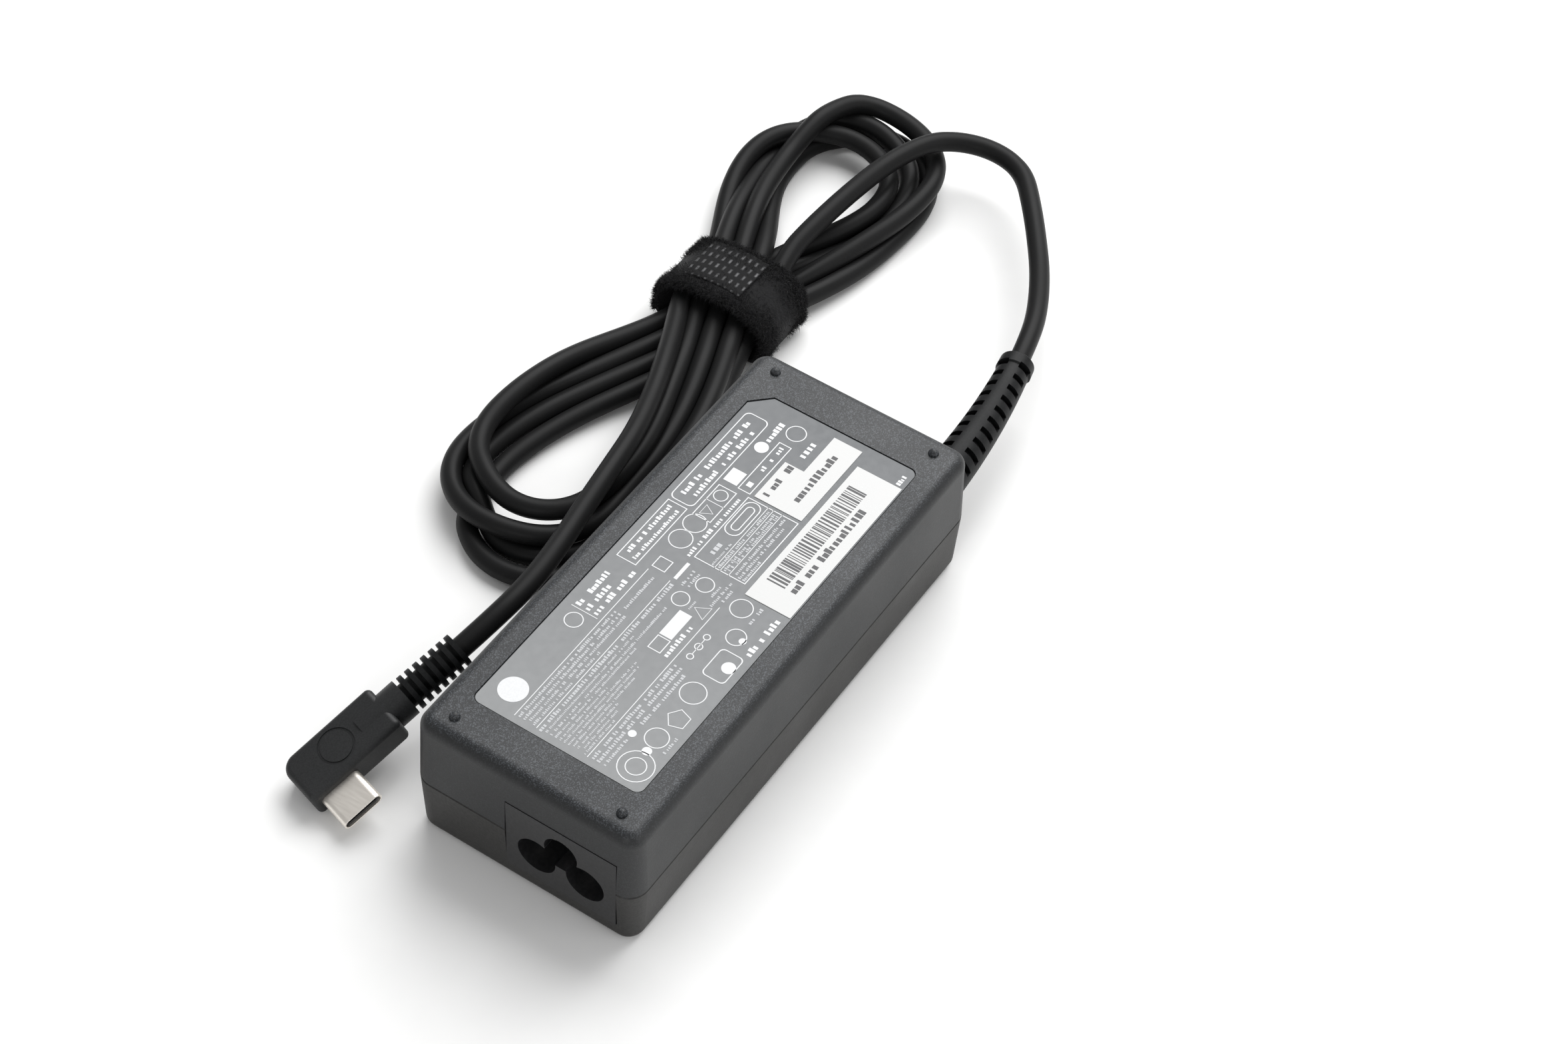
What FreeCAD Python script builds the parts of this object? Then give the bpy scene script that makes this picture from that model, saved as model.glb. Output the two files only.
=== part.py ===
"""Laptop power adapter: a two-shell plastic case with its electronics, a mains inlet,
and an output cord that is wound into a tied hank and ends in an angled USB-C plug.

The origin is the middle of the case's underside.  +X runs towards the end that the cord
leaves, +Z is up, and the cord's hank lies beside the case on its +Y side.  Millimetres.
"""
import FreeCAD, Part
import math
import os
import re

import Sketcher
from FreeCAD import Placement, Rotation, Vector

document = FreeCAD.newDocument("power_adapter")
sheet = document.addObject("Spreadsheet::Sheet", "sizes")
sub_parts = []

# ---------------------------------------------------------------- driving dimensions
SIZES = {
    # case
    "case_length": 107.0,
    "case_width": 46.6,
    "case_height": 29.4,
    "seam_height": 13.6,
    "wall": 2.2,
    "roof": 2.0,
    "corner_radius": 3.8,
    "top_draft": 2.2,
    "bottom_draft": 2.8,
    "top_edge_radius": 2.6,
    "bottom_edge_radius": 2.0,
    "seam_chamfer": 0.25,
    "lip_height": 1.2,
    "lip_clearance": 0.1,
    "nub_radius": 1.0,
    "nub_inset_x": 4.9,
    "nub_inset_y": 6.2,
    # rating label and its stickers
    "label_length": 86.9,
    "label_width": 34.4,
    "label_corner": 3.6,
    "label_round": 1.5,
    "label_centre_x": -0.35,
    "label_thickness": 0.25,
    "label_recess": 0.4,
    "label_gap": 0.2,
    "sticker_thickness": 0.12,
    # mains inlet
    "inlet_y": -7.95,
    "inlet_rise": 9.3,
    "inlet_width": 22.7,
    "inlet_height": 17.0,
    "inlet_gap": 0.12,
    "inlet_setback": 0.2,
    "inlet_depth": 19.0,
    "inlet_flange": 0.5,
    "recess_depth": 14.9,
    "pin_spacing": 10.0,
    "pin_z": -1.8,
    "earth_pin_z": 2.85,
    "live_lobe": 3.9,
    "earth_lobe": 3.4,
    "pin_diameter": 2.35,
    "pin_setback": 4.6,
    "earth_setback": 2.0,
    # circuit board
    "board_end_gap": 2.8,
    "board_side_gap": 1.3,
    "board_thickness": 1.6,
    "board_z": 3.6,
    "seat_gap": 0.05,
    "tail_width": 1.8,
    "tail_thickness": 1.2,
    "tail_gap": 0.15,
    "screw_radius": 1.25,
    "screw_gap": 0.1,
    "sink_thickness": 1.5,
    "device_thickness": 4.5,
    "sink_inset": 3.8,
    "shield_thickness": 0.3,
    "insulation_thickness": 0.35,
    "bulk_radius": 8.0,
    "bulk_length": 26.0,
    "choke_radius": 8.0,
    "choke_bore": 4.2,
    "choke_width": 7.0,
    "core_length": 24.0,
    "core_depth": 12.0,
    "core_height": 19.0,
    "core_leg": 3.8,
    "core_centre": 7.0,
    "winding_gap": 0.1,
    "wire_radius": 0.8,
    # output strain relief on the case
    "relief_y": -15.5,
    "relief_length": 37.5,
    "relief_turn": 12.0,
    "relief_root": 4.5,
    "relief_tip": 3.1,
    "relief_pitch": 3.15,
    "relief_slot": 1.35,
    "relief_slot_depth": 1.2,
    "relief_flange": 2.2,
    "relief_rim": 1.2,
    # cord, hank and tie
    "cord_diameter": 4.1,
    "tie_x": 25.0,
    "tie_y": 23.2,
    "tie_band": 15.0,
    "tie_width": 26.5,
    "tie_height": 11.5,
    "tie_thickness": 1.4,
    "tie_gap": 0.3,
    "hank_height": 8.0,
    # plug
    "plug_x": -111.15,
    "plug_y": 12.45,
    "plug_lift": 4.76,
    "plug_yaw": -16.5,
    "plug_pitch": -20.0,
    "plug_roll": 1.0,
    "plug_length": 20.65,
    "plug_width": 9.85,
    "plug_thickness": 6.8,
    "plug_back": 15.05,
    "collar_radius": 3.7,
    "collar_length": 3.7,
    "ring_radius": 3.55,
    "ring_core": 2.45,
    "ring_pitch": 1.8,
    "ring_width": 0.95,
    "usb_width": 8.25,
    "usb_height": 2.4,
    "usb_reach": 6.55,
    "usb_wall": 0.3,
    "usb_inside": 2.5,
    "usb_gap": 0.05,
}

for row, (alias, size) in enumerate(SIZES.items(), start=1):
    sheet.set(f"A{row}", alias)
    sheet.set(f"B{row}", str(size))
    sheet.setAlias(f"B{row}", alias)
document.recompute()


# ------------------------------------------------------------------ expression helpers
def full(expression):
    """The expression with each size's name pointing at its cell in the sheet."""
    return re.sub(r"[a-z]\w*", lambda word: qualified(word.group()), str(expression))


def qualified(word):
    """A size's name with the sheet in front of it; any other word as it is."""
    return f"sizes.{word}" if word in SIZES else word


def value(expression):
    """The number that an expression of sizes comes to."""
    return float(sheet.evalExpression(full(expression)))


def bind(item, property_name, expression):
    """Ties a property to an expression of sizes."""
    item.setExpression(property_name, full(expression))


def move(item, x, y, z):
    """Ties an object's place to three expressions."""
    for axis, expression in zip("xyz", (x, y, z)):
        bind(item, f"Placement.Base.{axis}", expression)


# ---------------------------------------------------------------- PartDesign helpers
def new_body(label, x="0", y="0", z="0", turn=None):
    """A body of its own for one piece, at the given place and turned if need be."""
    body = document.addObject("PartDesign::Body", label)
    body.Label = label
    body.Placement = Placement(Vector(), turn or Rotation())
    move(body, x, y, z)
    sub_parts.append(body)
    return body


def new_sketch(body, name, plane="XY_Plane", x="0", y="0", z="0"):
    """A sketch on one of the body's own planes, shifted in that plane's own axes."""
    origin_plane = next(item for item in body.Origin.OriginFeatures if item.Role == plane)
    sketch = body.newObject("Sketcher::SketchObject", f"{body.Name}_{name}")
    sketch.AttachmentSupport = [(origin_plane, "")]
    sketch.MapMode = "FlatFace"
    for axis, expression in zip("xyz", (x, y, z)):
        bind(sketch, f"AttachmentOffset.Base.{axis}", expression)
    return sketch


def dimension(sketch, kind, arguments, expression):
    """A dimension of a sketch, tied to an expression."""
    index = sketch.addConstraint(Sketcher.Constraint(kind, *arguments, value(expression)))
    name = f"size_{index}"
    sketch.renameConstraint(index, name)
    bind(sketch, f"Constraints.{name}", expression)


def draw_polygon(sketch, corners):
    """A closed polygon; each corner is a pair of expressions."""
    spots = [Vector(value(x), value(y), 0) for x, y in corners]
    first = sketch.GeometryCount
    count = len(spots)
    for index, spot in enumerate(spots):
        sketch.addGeometry(Part.LineSegment(spot, spots[(index + 1) % count]), False)
    for index in range(count):
        follower = first + (index + 1) % count
        sketch.addConstraint(Sketcher.Constraint("Coincident", first + index, 2, follower, 1))
    for index, (x, y) in enumerate(corners):
        dimension(sketch, "DistanceX", (-1, 1, first + index, 1), x)
        dimension(sketch, "DistanceY", (-1, 1, first + index, 1), y)


def draw_rectangle(sketch, width, height):
    """A rectangle centred on the sketch's origin."""
    half_width, half_height = f"({width}) / 2", f"({height}) / 2"
    draw_polygon(sketch, [
        (f"-{half_width}", f"-{half_height}"), (half_width, f"-{half_height}"),
        (half_width, half_height), (f"-{half_width}", half_height),
    ])


def draw_rounded(sketch, width, height, radius):
    """A rectangle with rounded corners, centred on the sketch's origin."""
    reach_x, reach_y = f"(({width}) / 2 - ({radius}))", f"(({height}) / 2 - ({radius}))"
    x, y, size = value(reach_x), value(reach_y), value(radius)
    first = sketch.GeometryCount
    for index, (side_x, side_y) in enumerate(((1, 1), (-1, 1), (-1, -1), (1, -1))):
        circle = Part.Circle(Vector(side_x * x, side_y * y, 0), Vector(0, 0, 1), size)
        begin = index * math.pi / 2
        sketch.addGeometry(Part.ArcOfCircle(circle, begin, begin + math.pi / 2), False)
    sides = ((x, y + size, -x, y + size), (-x - size, y, -x - size, -y),
             (-x, -y - size, x, -y - size), (x + size, -y, x + size, y))
    for start_x, start_y, end_x, end_y in sides:
        ends = Vector(start_x, start_y, 0), Vector(end_x, end_y, 0)
        sketch.addGeometry(Part.LineSegment(*ends), False)
    for index in range(4):
        line, following = first + 4 + index, first + (index + 1) % 4
        sketch.addConstraint(Sketcher.Constraint("Tangent", first + index, 2, line, 1))
        sketch.addConstraint(Sketcher.Constraint("Tangent", line, 2, following, 1))
        level = "Vertical" if index % 2 else "Horizontal"
        sketch.addConstraint(Sketcher.Constraint(level, line))
        if index:
            sketch.addConstraint(Sketcher.Constraint("Equal", first, first + index))
    dimension(sketch, "Radius", (first,), radius)
    for arc, sign in ((first, ""), (first + 2, "-")):
        dimension(sketch, "DistanceX", (-1, 1, arc, 3), f"{sign}{reach_x}")
        dimension(sketch, "DistanceY", (-1, 1, arc, 3), f"{sign}{reach_y}")


def draw_circle(sketch, radius):
    """A circle centred on the sketch's origin."""
    index = sketch.addGeometry(Part.Circle(Vector(0, 0, 0), Vector(0, 0, 1), value(radius)), False)
    sketch.addConstraint(Sketcher.Constraint("Coincident", index, 3, -1, 1))
    dimension(sketch, "Radius", (index,), radius)


def draw_stadium(sketch, width, height):
    """A slot shape centred on the sketch's origin: two straight sides and two round ends."""
    reach, radius = f"(({width}) - ({height})) / 2", f"({height}) / 2"
    first = sketch.GeometryCount
    offset, size = value(reach), value(radius)
    for side, begin in ((1, -math.pi / 2), (-1, math.pi / 2)):
        circle = Part.Circle(Vector(side * offset, 0, 0), Vector(0, 0, 1), size)
        sketch.addGeometry(Part.ArcOfCircle(circle, begin, begin + math.pi), False)
    for side in (1, -1):
        ends = Vector(side * offset, side * size, 0), Vector(-side * offset, side * size, 0)
        sketch.addGeometry(Part.LineSegment(*ends), False)
    right, left, top, bottom = range(first, first + 4)
    for one, one_end, other, other_end in ((right, 2, top, 1), (top, 2, left, 1),
                                           (left, 2, bottom, 1), (bottom, 2, right, 1)):
        sketch.addConstraint(Sketcher.Constraint("Coincident", one, one_end, other, other_end))
    for arc, sign in ((right, ""), (left, "-")):
        for end in (1, 2):
            sketch.addConstraint(Sketcher.Constraint("Vertical", arc, end, arc, 3))
        dimension(sketch, "Radius", (arc,), radius)
        dimension(sketch, "DistanceX", (-1, 1, arc, 3), f"{sign}{reach}")
        dimension(sketch, "DistanceY", (-1, 1, arc, 3), "0")


def finish_feature(feature):
    """Recomputes and gives the feature back, or says that it failed."""
    document.recompute()
    if not feature.isValid() or feature.Shape.isNull():
        raise RuntimeError(f"{feature.Name} failed")
    return feature


def pad(body, sketch, length, taper=None, reverse=False, symmetric=False):
    """Material added along the sketch's normal."""
    feature = body.newObject("PartDesign::Pad", f"{sketch.Name}_pad")
    feature.Profile = sketch
    feature.Reversed = reverse
    feature.SideType = "Symmetric" if symmetric else "One side"
    bind(feature, "Length", length)
    if taper is not None:
        bind(feature, "TaperAngle", taper)
    return finish_feature(feature)


def pocket(body, sketch, depth, reverse=False, symmetric=False):
    """Material taken away along the sketch's normal, which has to take something away."""
    before = body.Shape.Volume
    feature = body.newObject("PartDesign::Pocket", f"{sketch.Name}_pocket")
    feature.Profile = sketch
    feature.Reversed = reverse
    feature.SideType = "Symmetric" if symmetric else "One side"
    bind(feature, "Length", depth)
    finish_feature(feature)
    if feature.Shape.Volume > before - 1e-6:
        raise RuntimeError(f"{feature.Name} cut nothing")
    return feature


def edges_where(feature, test):
    """The names of the feature's edges that pass the test."""
    return [f"Edge{index}" for index, edge in enumerate(feature.Shape.Edges, start=1) if test(edge)]


def dress(body, kind, size, test, amount):
    """A Fillet's Radius or a Chamfer's Size on the tip's edges that pass the test."""
    base = body.Tip
    names = edges_where(base, test)
    if not names:
        raise RuntimeError(f"{body.Name}: no edge for the {kind}")
    feature = body.newObject(f"PartDesign::{kind}", f"{body.Name}_{kind.lower()}_{len(body.Group)}")
    feature.Base = (base, names)
    bind(feature, size, amount)
    return finish_feature(feature)


def fillet(body, test, radius):
    """Rounds the tip's edges that pass the test."""
    return dress(body, "Fillet", "Radius", test, radius)


def chamfer(body, test, size):
    """Bevels the tip's edges that pass the test."""
    return dress(body, "Chamfer", "Size", test, size)


def runs_along(edge, axis, slack=0.1):
    """True for an edge whose box is long on one axis only, give or take a draft."""
    box = edge.BoundBox
    spans = {"x": box.XLength, "y": box.YLength, "z": box.ZLength}
    longest = spans.pop(axis)
    return longest > 0.3 and all(span < slack * longest for span in spans.values())


def lies_at(edge, axis, position, slack=0.01):
    """True for an edge that lies flat at one height on an axis."""
    box = edge.BoundBox
    low, high = {"x": (box.XMin, box.XMax), "y": (box.YMin, box.YMax), "z": (box.ZMin, box.ZMax)}[axis]
    return abs(low - position) < slack and abs(high - position) < slack


# ------------------------------------------------------------------- Part helpers
def keep(item, label):
    """Makes the object one of the pieces, under its own name."""
    item.Label = label
    sub_parts.append(item)
    return item


def block(name, length, width, height, x, y, z):
    """A box centred on x and y, standing on z."""
    item = document.addObject("Part::Box", name)
    bind(item, "Length", length)
    bind(item, "Width", width)
    bind(item, "Height", height)
    move(item, f"({x}) - ({length}) / 2", f"({y}) - ({width}) / 2", z)
    return item


AXIS_TURN = {
    "x": Rotation(Vector(0, 1, 0), 90),
    "y": Rotation(Vector(1, 0, 0), -90),
    "z": Rotation(),
}


def rod(name, radius, length, x, y, z, axis="z"):
    """A cylinder that starts at a point and runs along an axis."""
    item = document.addObject("Part::Cylinder", name)
    item.Placement = Placement(Vector(), AXIS_TURN[axis])
    bind(item, "Radius", radius)
    bind(item, "Height", length)
    move(item, x, y, z)
    return item


def fuse(name, items):
    """Several overlapping objects made one."""
    item = document.addObject("Part::MultiFuse", name)
    item.Shapes = items
    item.Refine = True
    return item


def cut(name, base, tool):
    """One object less another."""
    item = document.addObject("Part::Cut", name)
    item.Base = base
    item.Tool = tool
    return item


def group(name, items):
    """Separate solids that share a node."""
    item = document.addObject("Part::Compound", name)
    item.Links = items
    return item


def solid_from(name, shape, place=None):
    """A free-form solid that neither a sketch nor a primitive gives."""
    item = document.addObject("Part::Feature", name)
    item.Shape = shape
    item.Placement = place or Placement()
    return item


# ----------------------------------------------------------------------- the case
CASE_END = "case_length / 2"
BOARD_LENGTH = "(case_length - 2 * wall - 2 * board_end_gap)"
BOARD_WIDTH = "(case_width - 2 * wall - 2 * board_side_gap)"
BOARD_TOP = "(board_z + seat_gap + board_thickness + seat_gap)"
INLET_Z = "(board_z + inlet_rise)"


def outer_block(body, height, draft, reverse):
    """A drafted rounded block that stands on the seam, the outside of one shell."""
    sketch = new_sketch(body, "outline")
    draw_rounded(sketch, "case_length", "case_width", "corner_radius")
    pad(body, sketch, height, taper=f"-{draft}", reverse=reverse)


def hollow(body, start, depth, reverse=False):
    """The inside of one shell, with straight walls and rounded corners."""
    sketch = new_sketch(body, "inside", z=start)
    draw_rounded(sketch, "case_length - 2 * wall", "case_width - 2 * wall", "corner_radius - wall")
    pocket(body, sketch, depth, reverse=reverse)


def cut_end_openings(body):
    """The inlet's window in one end wall and the cord's hole in the other, both on the seam."""
    window = new_sketch(body, "inlet_window", "YZ_Plane",
                        x="inlet_y", y=f"{INLET_Z} - seam_height", z=f"-{CASE_END}")
    draw_rectangle(window, "inlet_width + 2 * inlet_gap", "inlet_height + 2 * inlet_gap")
    pocket(body, window, "4 * wall", symmetric=True)
    hole = new_sketch(body, "cord_hole", "YZ_Plane", x="relief_y", z=CASE_END)
    draw_circle(hole, "relief_root + seat_gap")
    pocket(body, hole, "4 * wall", symmetric=True)


def make_top_shell():
    """The shell with the label: nubs on its face, a shallow recess, and a rebate for the lip."""
    height = "(case_height - seam_height)"
    body = new_body("top_shell", z="seam_height")
    outer_block(body, height, "top_draft", reverse=False)
    fillet(body, lambda edge: lies_at(edge, "z", value(height)), "top_edge_radius")
    chamfer(body, lambda edge: lies_at(edge, "z", 0), "seam_chamfer")
    hollow(body, "0", f"{height} - roof", reverse=True)
    rebate = new_sketch(body, "rebate")
    draw_rounded(rebate, "case_length - wall", "case_width - wall", "corner_radius - wall / 2")
    pocket(body, rebate, "lip_height + lip_clearance", reverse=True)
    cut_end_openings(body)
    recess = new_sketch(body, "label_recess", x="label_centre_x", z=height)
    draw_label(recess, "label_gap")
    pocket(body, recess, "label_recess")
    fillet(body, lambda edge: is_label_corner(edge, value("label_gap"), value("label_centre_x")),
           "label_round + label_gap")
    add_nubs(body, height)


def draw_label(sketch, growth):
    """The label's outline, with one corner cut off, grown by a gap all round."""
    half_length = f"(label_length / 2 + {growth})"
    half_width = f"(label_width / 2 + {growth})"
    draw_polygon(sketch, [
        (f"-{half_length}", f"-{half_width}"), (half_length, f"-{half_width}"),
        (half_length, f"{half_width} - label_corner"), (f"{half_length} - label_corner", half_width),
        (f"-{half_length}", half_width),
    ])


def is_label_corner(edge, growth, centre_x):
    """True for the upright edges at the label's three square corners."""
    box = edge.BoundBox
    half_length, half_width = value("label_length") / 2 + growth, value("label_width") / 2 + growth
    return (max(box.XLength, box.YLength) < 0.01
            and abs(abs(box.Center.x - centre_x) - half_length) < 0.01
            and abs(abs(box.Center.y) - half_width) < 0.01)


def add_nubs(body, height):
    """Four round nubs near the corners of the face, which it stands on when turned over."""
    for side_x in ("-", ""):
        for side_y in ("-", ""):
            nub = body.newObject("PartDesign::AdditiveSphere", f"{body.Name}_nub")
            nub.AttachmentSupport = [(body.Origin.OriginFeatures[3], "")]
            nub.MapMode = "FlatFace"
            bind(nub, "Radius", "nub_radius")
            bind(nub, "AttachmentOffset.Base.x", f"{side_x}(case_length / 2 - nub_inset_x)")
            bind(nub, "AttachmentOffset.Base.y", f"{side_y}(case_width / 2 - nub_inset_y)")
            bind(nub, "AttachmentOffset.Base.z", height)
            finish_feature(nub)


def make_bottom_shell():
    """The plain shell: a lip that keys into the other half, and posts under the board."""
    body = new_body("bottom_shell", z="seam_height")
    outer_block(body, "seam_height", "bottom_draft", reverse=True)
    fillet(body, lambda edge: lies_at(edge, "z", -value("seam_height")), "bottom_edge_radius")
    chamfer(body, lambda edge: lies_at(edge, "z", 0), "seam_chamfer")
    lip = new_sketch(body, "lip")
    draw_rounded(lip, "case_length - wall - 2 * lip_clearance",
                 "case_width - wall - 2 * lip_clearance", "corner_radius - wall / 2 - lip_clearance")
    pad(body, lip, "lip_height")
    hollow(body, "lip_height", "lip_height + seam_height - roof")
    cut_end_openings(body)
    for side_x in ("-", ""):
        for side_y in ("-", ""):
            post = new_sketch(body, "post", x=f"{side_x}({BOARD_LENGTH} / 2 - 4)",
                              y=f"{side_y}({BOARD_WIDTH} / 2 - 3)", z="roof - seam_height")
            draw_rectangle(post, "5", "4")
            pad(body, post, "board_z - roof")


def make_labels():
    """The film rating label in its recess, and the two paper stickers on it."""
    label_z = "case_height - label_recess"
    body = new_body("rating_label", x="label_centre_x", z=label_z)
    film = new_sketch(body, "film")
    draw_label(film, "0")
    pad(body, film, "label_thickness")
    fillet(body, lambda edge: is_label_corner(edge, 0, 0), "label_round")
    sticker_z = f"{label_z} + label_thickness"
    barcode = new_body("barcode_sticker", x="19.85", y="-12.3", z=sticker_z)
    paper = new_sketch(barcode, "paper")
    draw_rectangle(paper, "36.3", "9.4")
    pad(barcode, paper, "sticker_thickness")
    revision = new_body("revision_sticker", x="21.3", y="-6.45", z=sticker_z)
    paper = new_sketch(revision, "paper")
    draw_polygon(paper, [("0", "0"), ("20.1", "0"), ("20.1", "6.0"),
                         ("10.0", "6.0"), ("10.0", "10.0"), ("0", "10.0")])
    pad(revision, paper, "sticker_thickness")


# ---------------------------------------------------------------------- the inlet
INLET_X = f"-{CASE_END} + inlet_setback"
FLANGE_START = "wall - inlet_setback + seat_gap"
INLET_PINS = {
    "line": ("-pin_spacing / 2", "pin_z", "live_lobe", "pin_setback"),
    "neutral": ("pin_spacing / 2", "pin_z", "live_lobe", "pin_setback"),
    "earth": ("0", "earth_pin_z", "earth_lobe", "earth_setback"),
}


def make_inlet():
    """The three-lobed mains inlet: a face in the window, a flange behind the wall, a deep recess."""
    body = new_body("ac_inlet_body", x=INLET_X, y="inlet_y", z=INLET_Z)
    face = new_sketch(body, "face", "YZ_Plane")
    draw_rectangle(face, "inlet_width", "inlet_height")
    pad(body, face, f"{FLANGE_START} + 0.5")
    flange = new_sketch(body, "flange", "YZ_Plane", z=FLANGE_START)
    draw_rectangle(flange, "inlet_width + 2 * inlet_flange", "inlet_height - 2 * seat_gap")
    pad(body, flange, "1.6")
    rear = new_sketch(body, "rear", "YZ_Plane", y="0.2", z=FLANGE_START)
    draw_rectangle(rear, "inlet_width - 2.4", "inlet_height - 2.2")
    pad(body, rear, f"inlet_depth - ({FLANGE_START})")
    for name, (pin_y, pin_z, lobe, _) in INLET_PINS.items():
        recess = new_sketch(body, f"{name}_lobe", "YZ_Plane", x=pin_y, y=pin_z)
        draw_circle(recess, lobe)
        pocket(body, recess, "recess_depth", reverse=True)
    web = new_sketch(body, "web", "YZ_Plane", y="pin_z")
    draw_polygon(web, [("-pin_spacing / 2 + 1.2", "0.4"), ("pin_spacing / 2 - 1.2", "0.4"),
                       ("pin_spacing / 2 - 1.9", "4.9"), ("-pin_spacing / 2 + 1.9", "4.9")])
    pocket(body, web, "recess_depth", reverse=True)
    for name, (pin_y, pin_z, _, _) in INLET_PINS.items():
        bore = new_sketch(body, f"{name}_bore", "YZ_Plane", x=pin_y, y=pin_z)
        draw_circle(bore, "(pin_diameter + seat_gap) / 2")
        pocket(body, bore, "inlet_depth + 1", reverse=True)


def make_inlet_pins():
    """Round pins with domed tips; each ends in a flat tail that goes through the board."""
    for name, (pin_y, pin_z, _, setback) in INLET_PINS.items():
        height = f"({INLET_Z} + {pin_z})"
        body = new_body(f"inlet_pin_{name}", x=INLET_X, y=f"inlet_y + {pin_y}", z=height)
        shank = new_sketch(body, "shank", "YZ_Plane", z=setback)
        draw_circle(shank, "pin_diameter / 2")
        pad(body, shank, f"inlet_depth + 2 - {setback}")
        tip = value(setback)
        fillet(body, lambda edge, tip=tip: lies_at(edge, "x", tip), "pin_diameter / 2 - 0.25")
        drop = f"({height} - board_z + 1)"
        tail = new_sketch(body, "tail", "XZ_Plane", x="inlet_depth + 1.4", y=f"-{drop} / 2 + 0.4")
        draw_rectangle(tail, "tail_thickness", f"{drop} + 0.8")
        pad(body, tail, "tail_width", symmetric=True)


# ------------------------------------------------------------------ the electronics
def make_circuit_board():
    """The board on its posts, with a slot for each inlet pin's tail."""
    body = new_body("circuit_board", z="board_z + seat_gap")
    outline = new_sketch(body, "outline")
    draw_rectangle(outline, BOARD_LENGTH, BOARD_WIDTH)
    pad(body, outline, "board_thickness")
    for name, (pin_y, _, _, _) in INLET_PINS.items():
        slot = new_sketch(body, f"{name}_slot", x=f"{INLET_X} + inlet_depth + 1.4",
                          y=f"inlet_y + {pin_y}", z="board_thickness")
        draw_rectangle(slot, "tail_thickness + 2 * tail_gap", "tail_width + 2 * tail_gap")
        pocket(body, slot, "board_thickness")


def make_mains_side():
    """Fuse, interference capacitor, choke, thermistor, bridge and the large storage capacitor."""
    left = f"-{BOARD_LENGTH} / 2"
    height = f"{BOARD_TOP} + 2.7"
    tube = rod("fuse_tube", "2.4", "13", f"{left} + 0.6", "7.5", height, "x")
    caps = [rod(f"fuse_cap_{index}", "2.7", "3.2", f"{left} + {start}", "7.5", height, "x")
            for index, start in enumerate((0.5, 10.5))]
    keep(fuse("fuse", [tube] + caps), "fuse")
    keep(block("x_capacitor", "18", "7", "13", f"{left} + 9.5", "15.2", BOARD_TOP), "x_capacitor")
    make_choke()
    disc = rod("thermistor_disc", "4.5", "3.6", "-31.3", "4.3", f"{BOARD_TOP} + 7.5", "x")
    legs = [rod(f"thermistor_leg_{index}", "0.4", "5", "-29.5", f"4.3 + {shift}", BOARD_TOP)
            for index, shift in enumerate((-2.5, 2.5))]
    keep(fuse("thermistor", [disc] + legs), "inrush_thermistor")
    chip = block("bridge_case", "3.5", "15", "11", "-22.5", "11.5", f"{BOARD_TOP} + 3")
    legs = [block(f"bridge_leg_{index}", "0.6", "0.9", "4", "-22.5", f"11.5 + {shift}", BOARD_TOP)
            for index, shift in enumerate((-5.7, -1.9, 1.9, 5.7))]
    keep(fuse("bridge", [chip] + legs), "bridge_rectifier")
    can = rod("bulk_can", "bulk_radius", "bulk_length", "-17", "11", f"{BOARD_TOP} + bulk_radius", "x")
    keep(can, "bulk_capacitor")
    disc = rod("y_disc", "4", "3", "0", "-5.5", f"{BOARD_TOP} + 6.5", "y")
    legs = [rod(f"y_leg_{index}", "0.35", "4.5", f"{shift}", "-4", BOARD_TOP)
            for index, shift in enumerate((-2.5, 2.5))]
    keep(fuse("y_capacitor", [disc] + legs), "y_capacitor")


def make_choke():
    """A ring core that stands on edge, with a winding on each half."""
    x, y, z = "-22.5", "-10", f"{BOARD_TOP} + choke_radius + 1"
    start = f"{y} - choke_width / 2"
    ring = rod("choke_ring", "choke_radius", "choke_width", x, start, z, "y")
    bore = rod("choke_bore_tool", "choke_bore", "choke_width", x, start, z, "y")
    keep(cut("choke_core", ring, bore), "choke_core")
    wound = f"{y} - choke_width / 2 - 0.9"
    thick = "choke_width + 1.8"
    outer = rod("winding_outer", "choke_radius + 0.8", thick, x, wound, z, "y")
    inner = rod("winding_inner", "choke_bore - 0.8", thick, x, wound, z, "y")
    room = rod("winding_room", "choke_radius + seat_gap", "choke_width + 2 * seat_gap",
               x, f"{start} - seat_gap", z, "y")
    hole = rod("winding_hole", "choke_bore - seat_gap", "choke_width + 1", x, f"{start} - 0.5", z, "y")
    split = block("winding_split", "3.2", "20", "30", x, y, f"{z} - 15")
    wire = cut("winding_shape", outer, inner)
    space = cut("winding_space", room, hole)
    halves = cut("winding_halves", cut("winding_shell", wire, space), split)
    keep(halves, "choke_windings")


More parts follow.
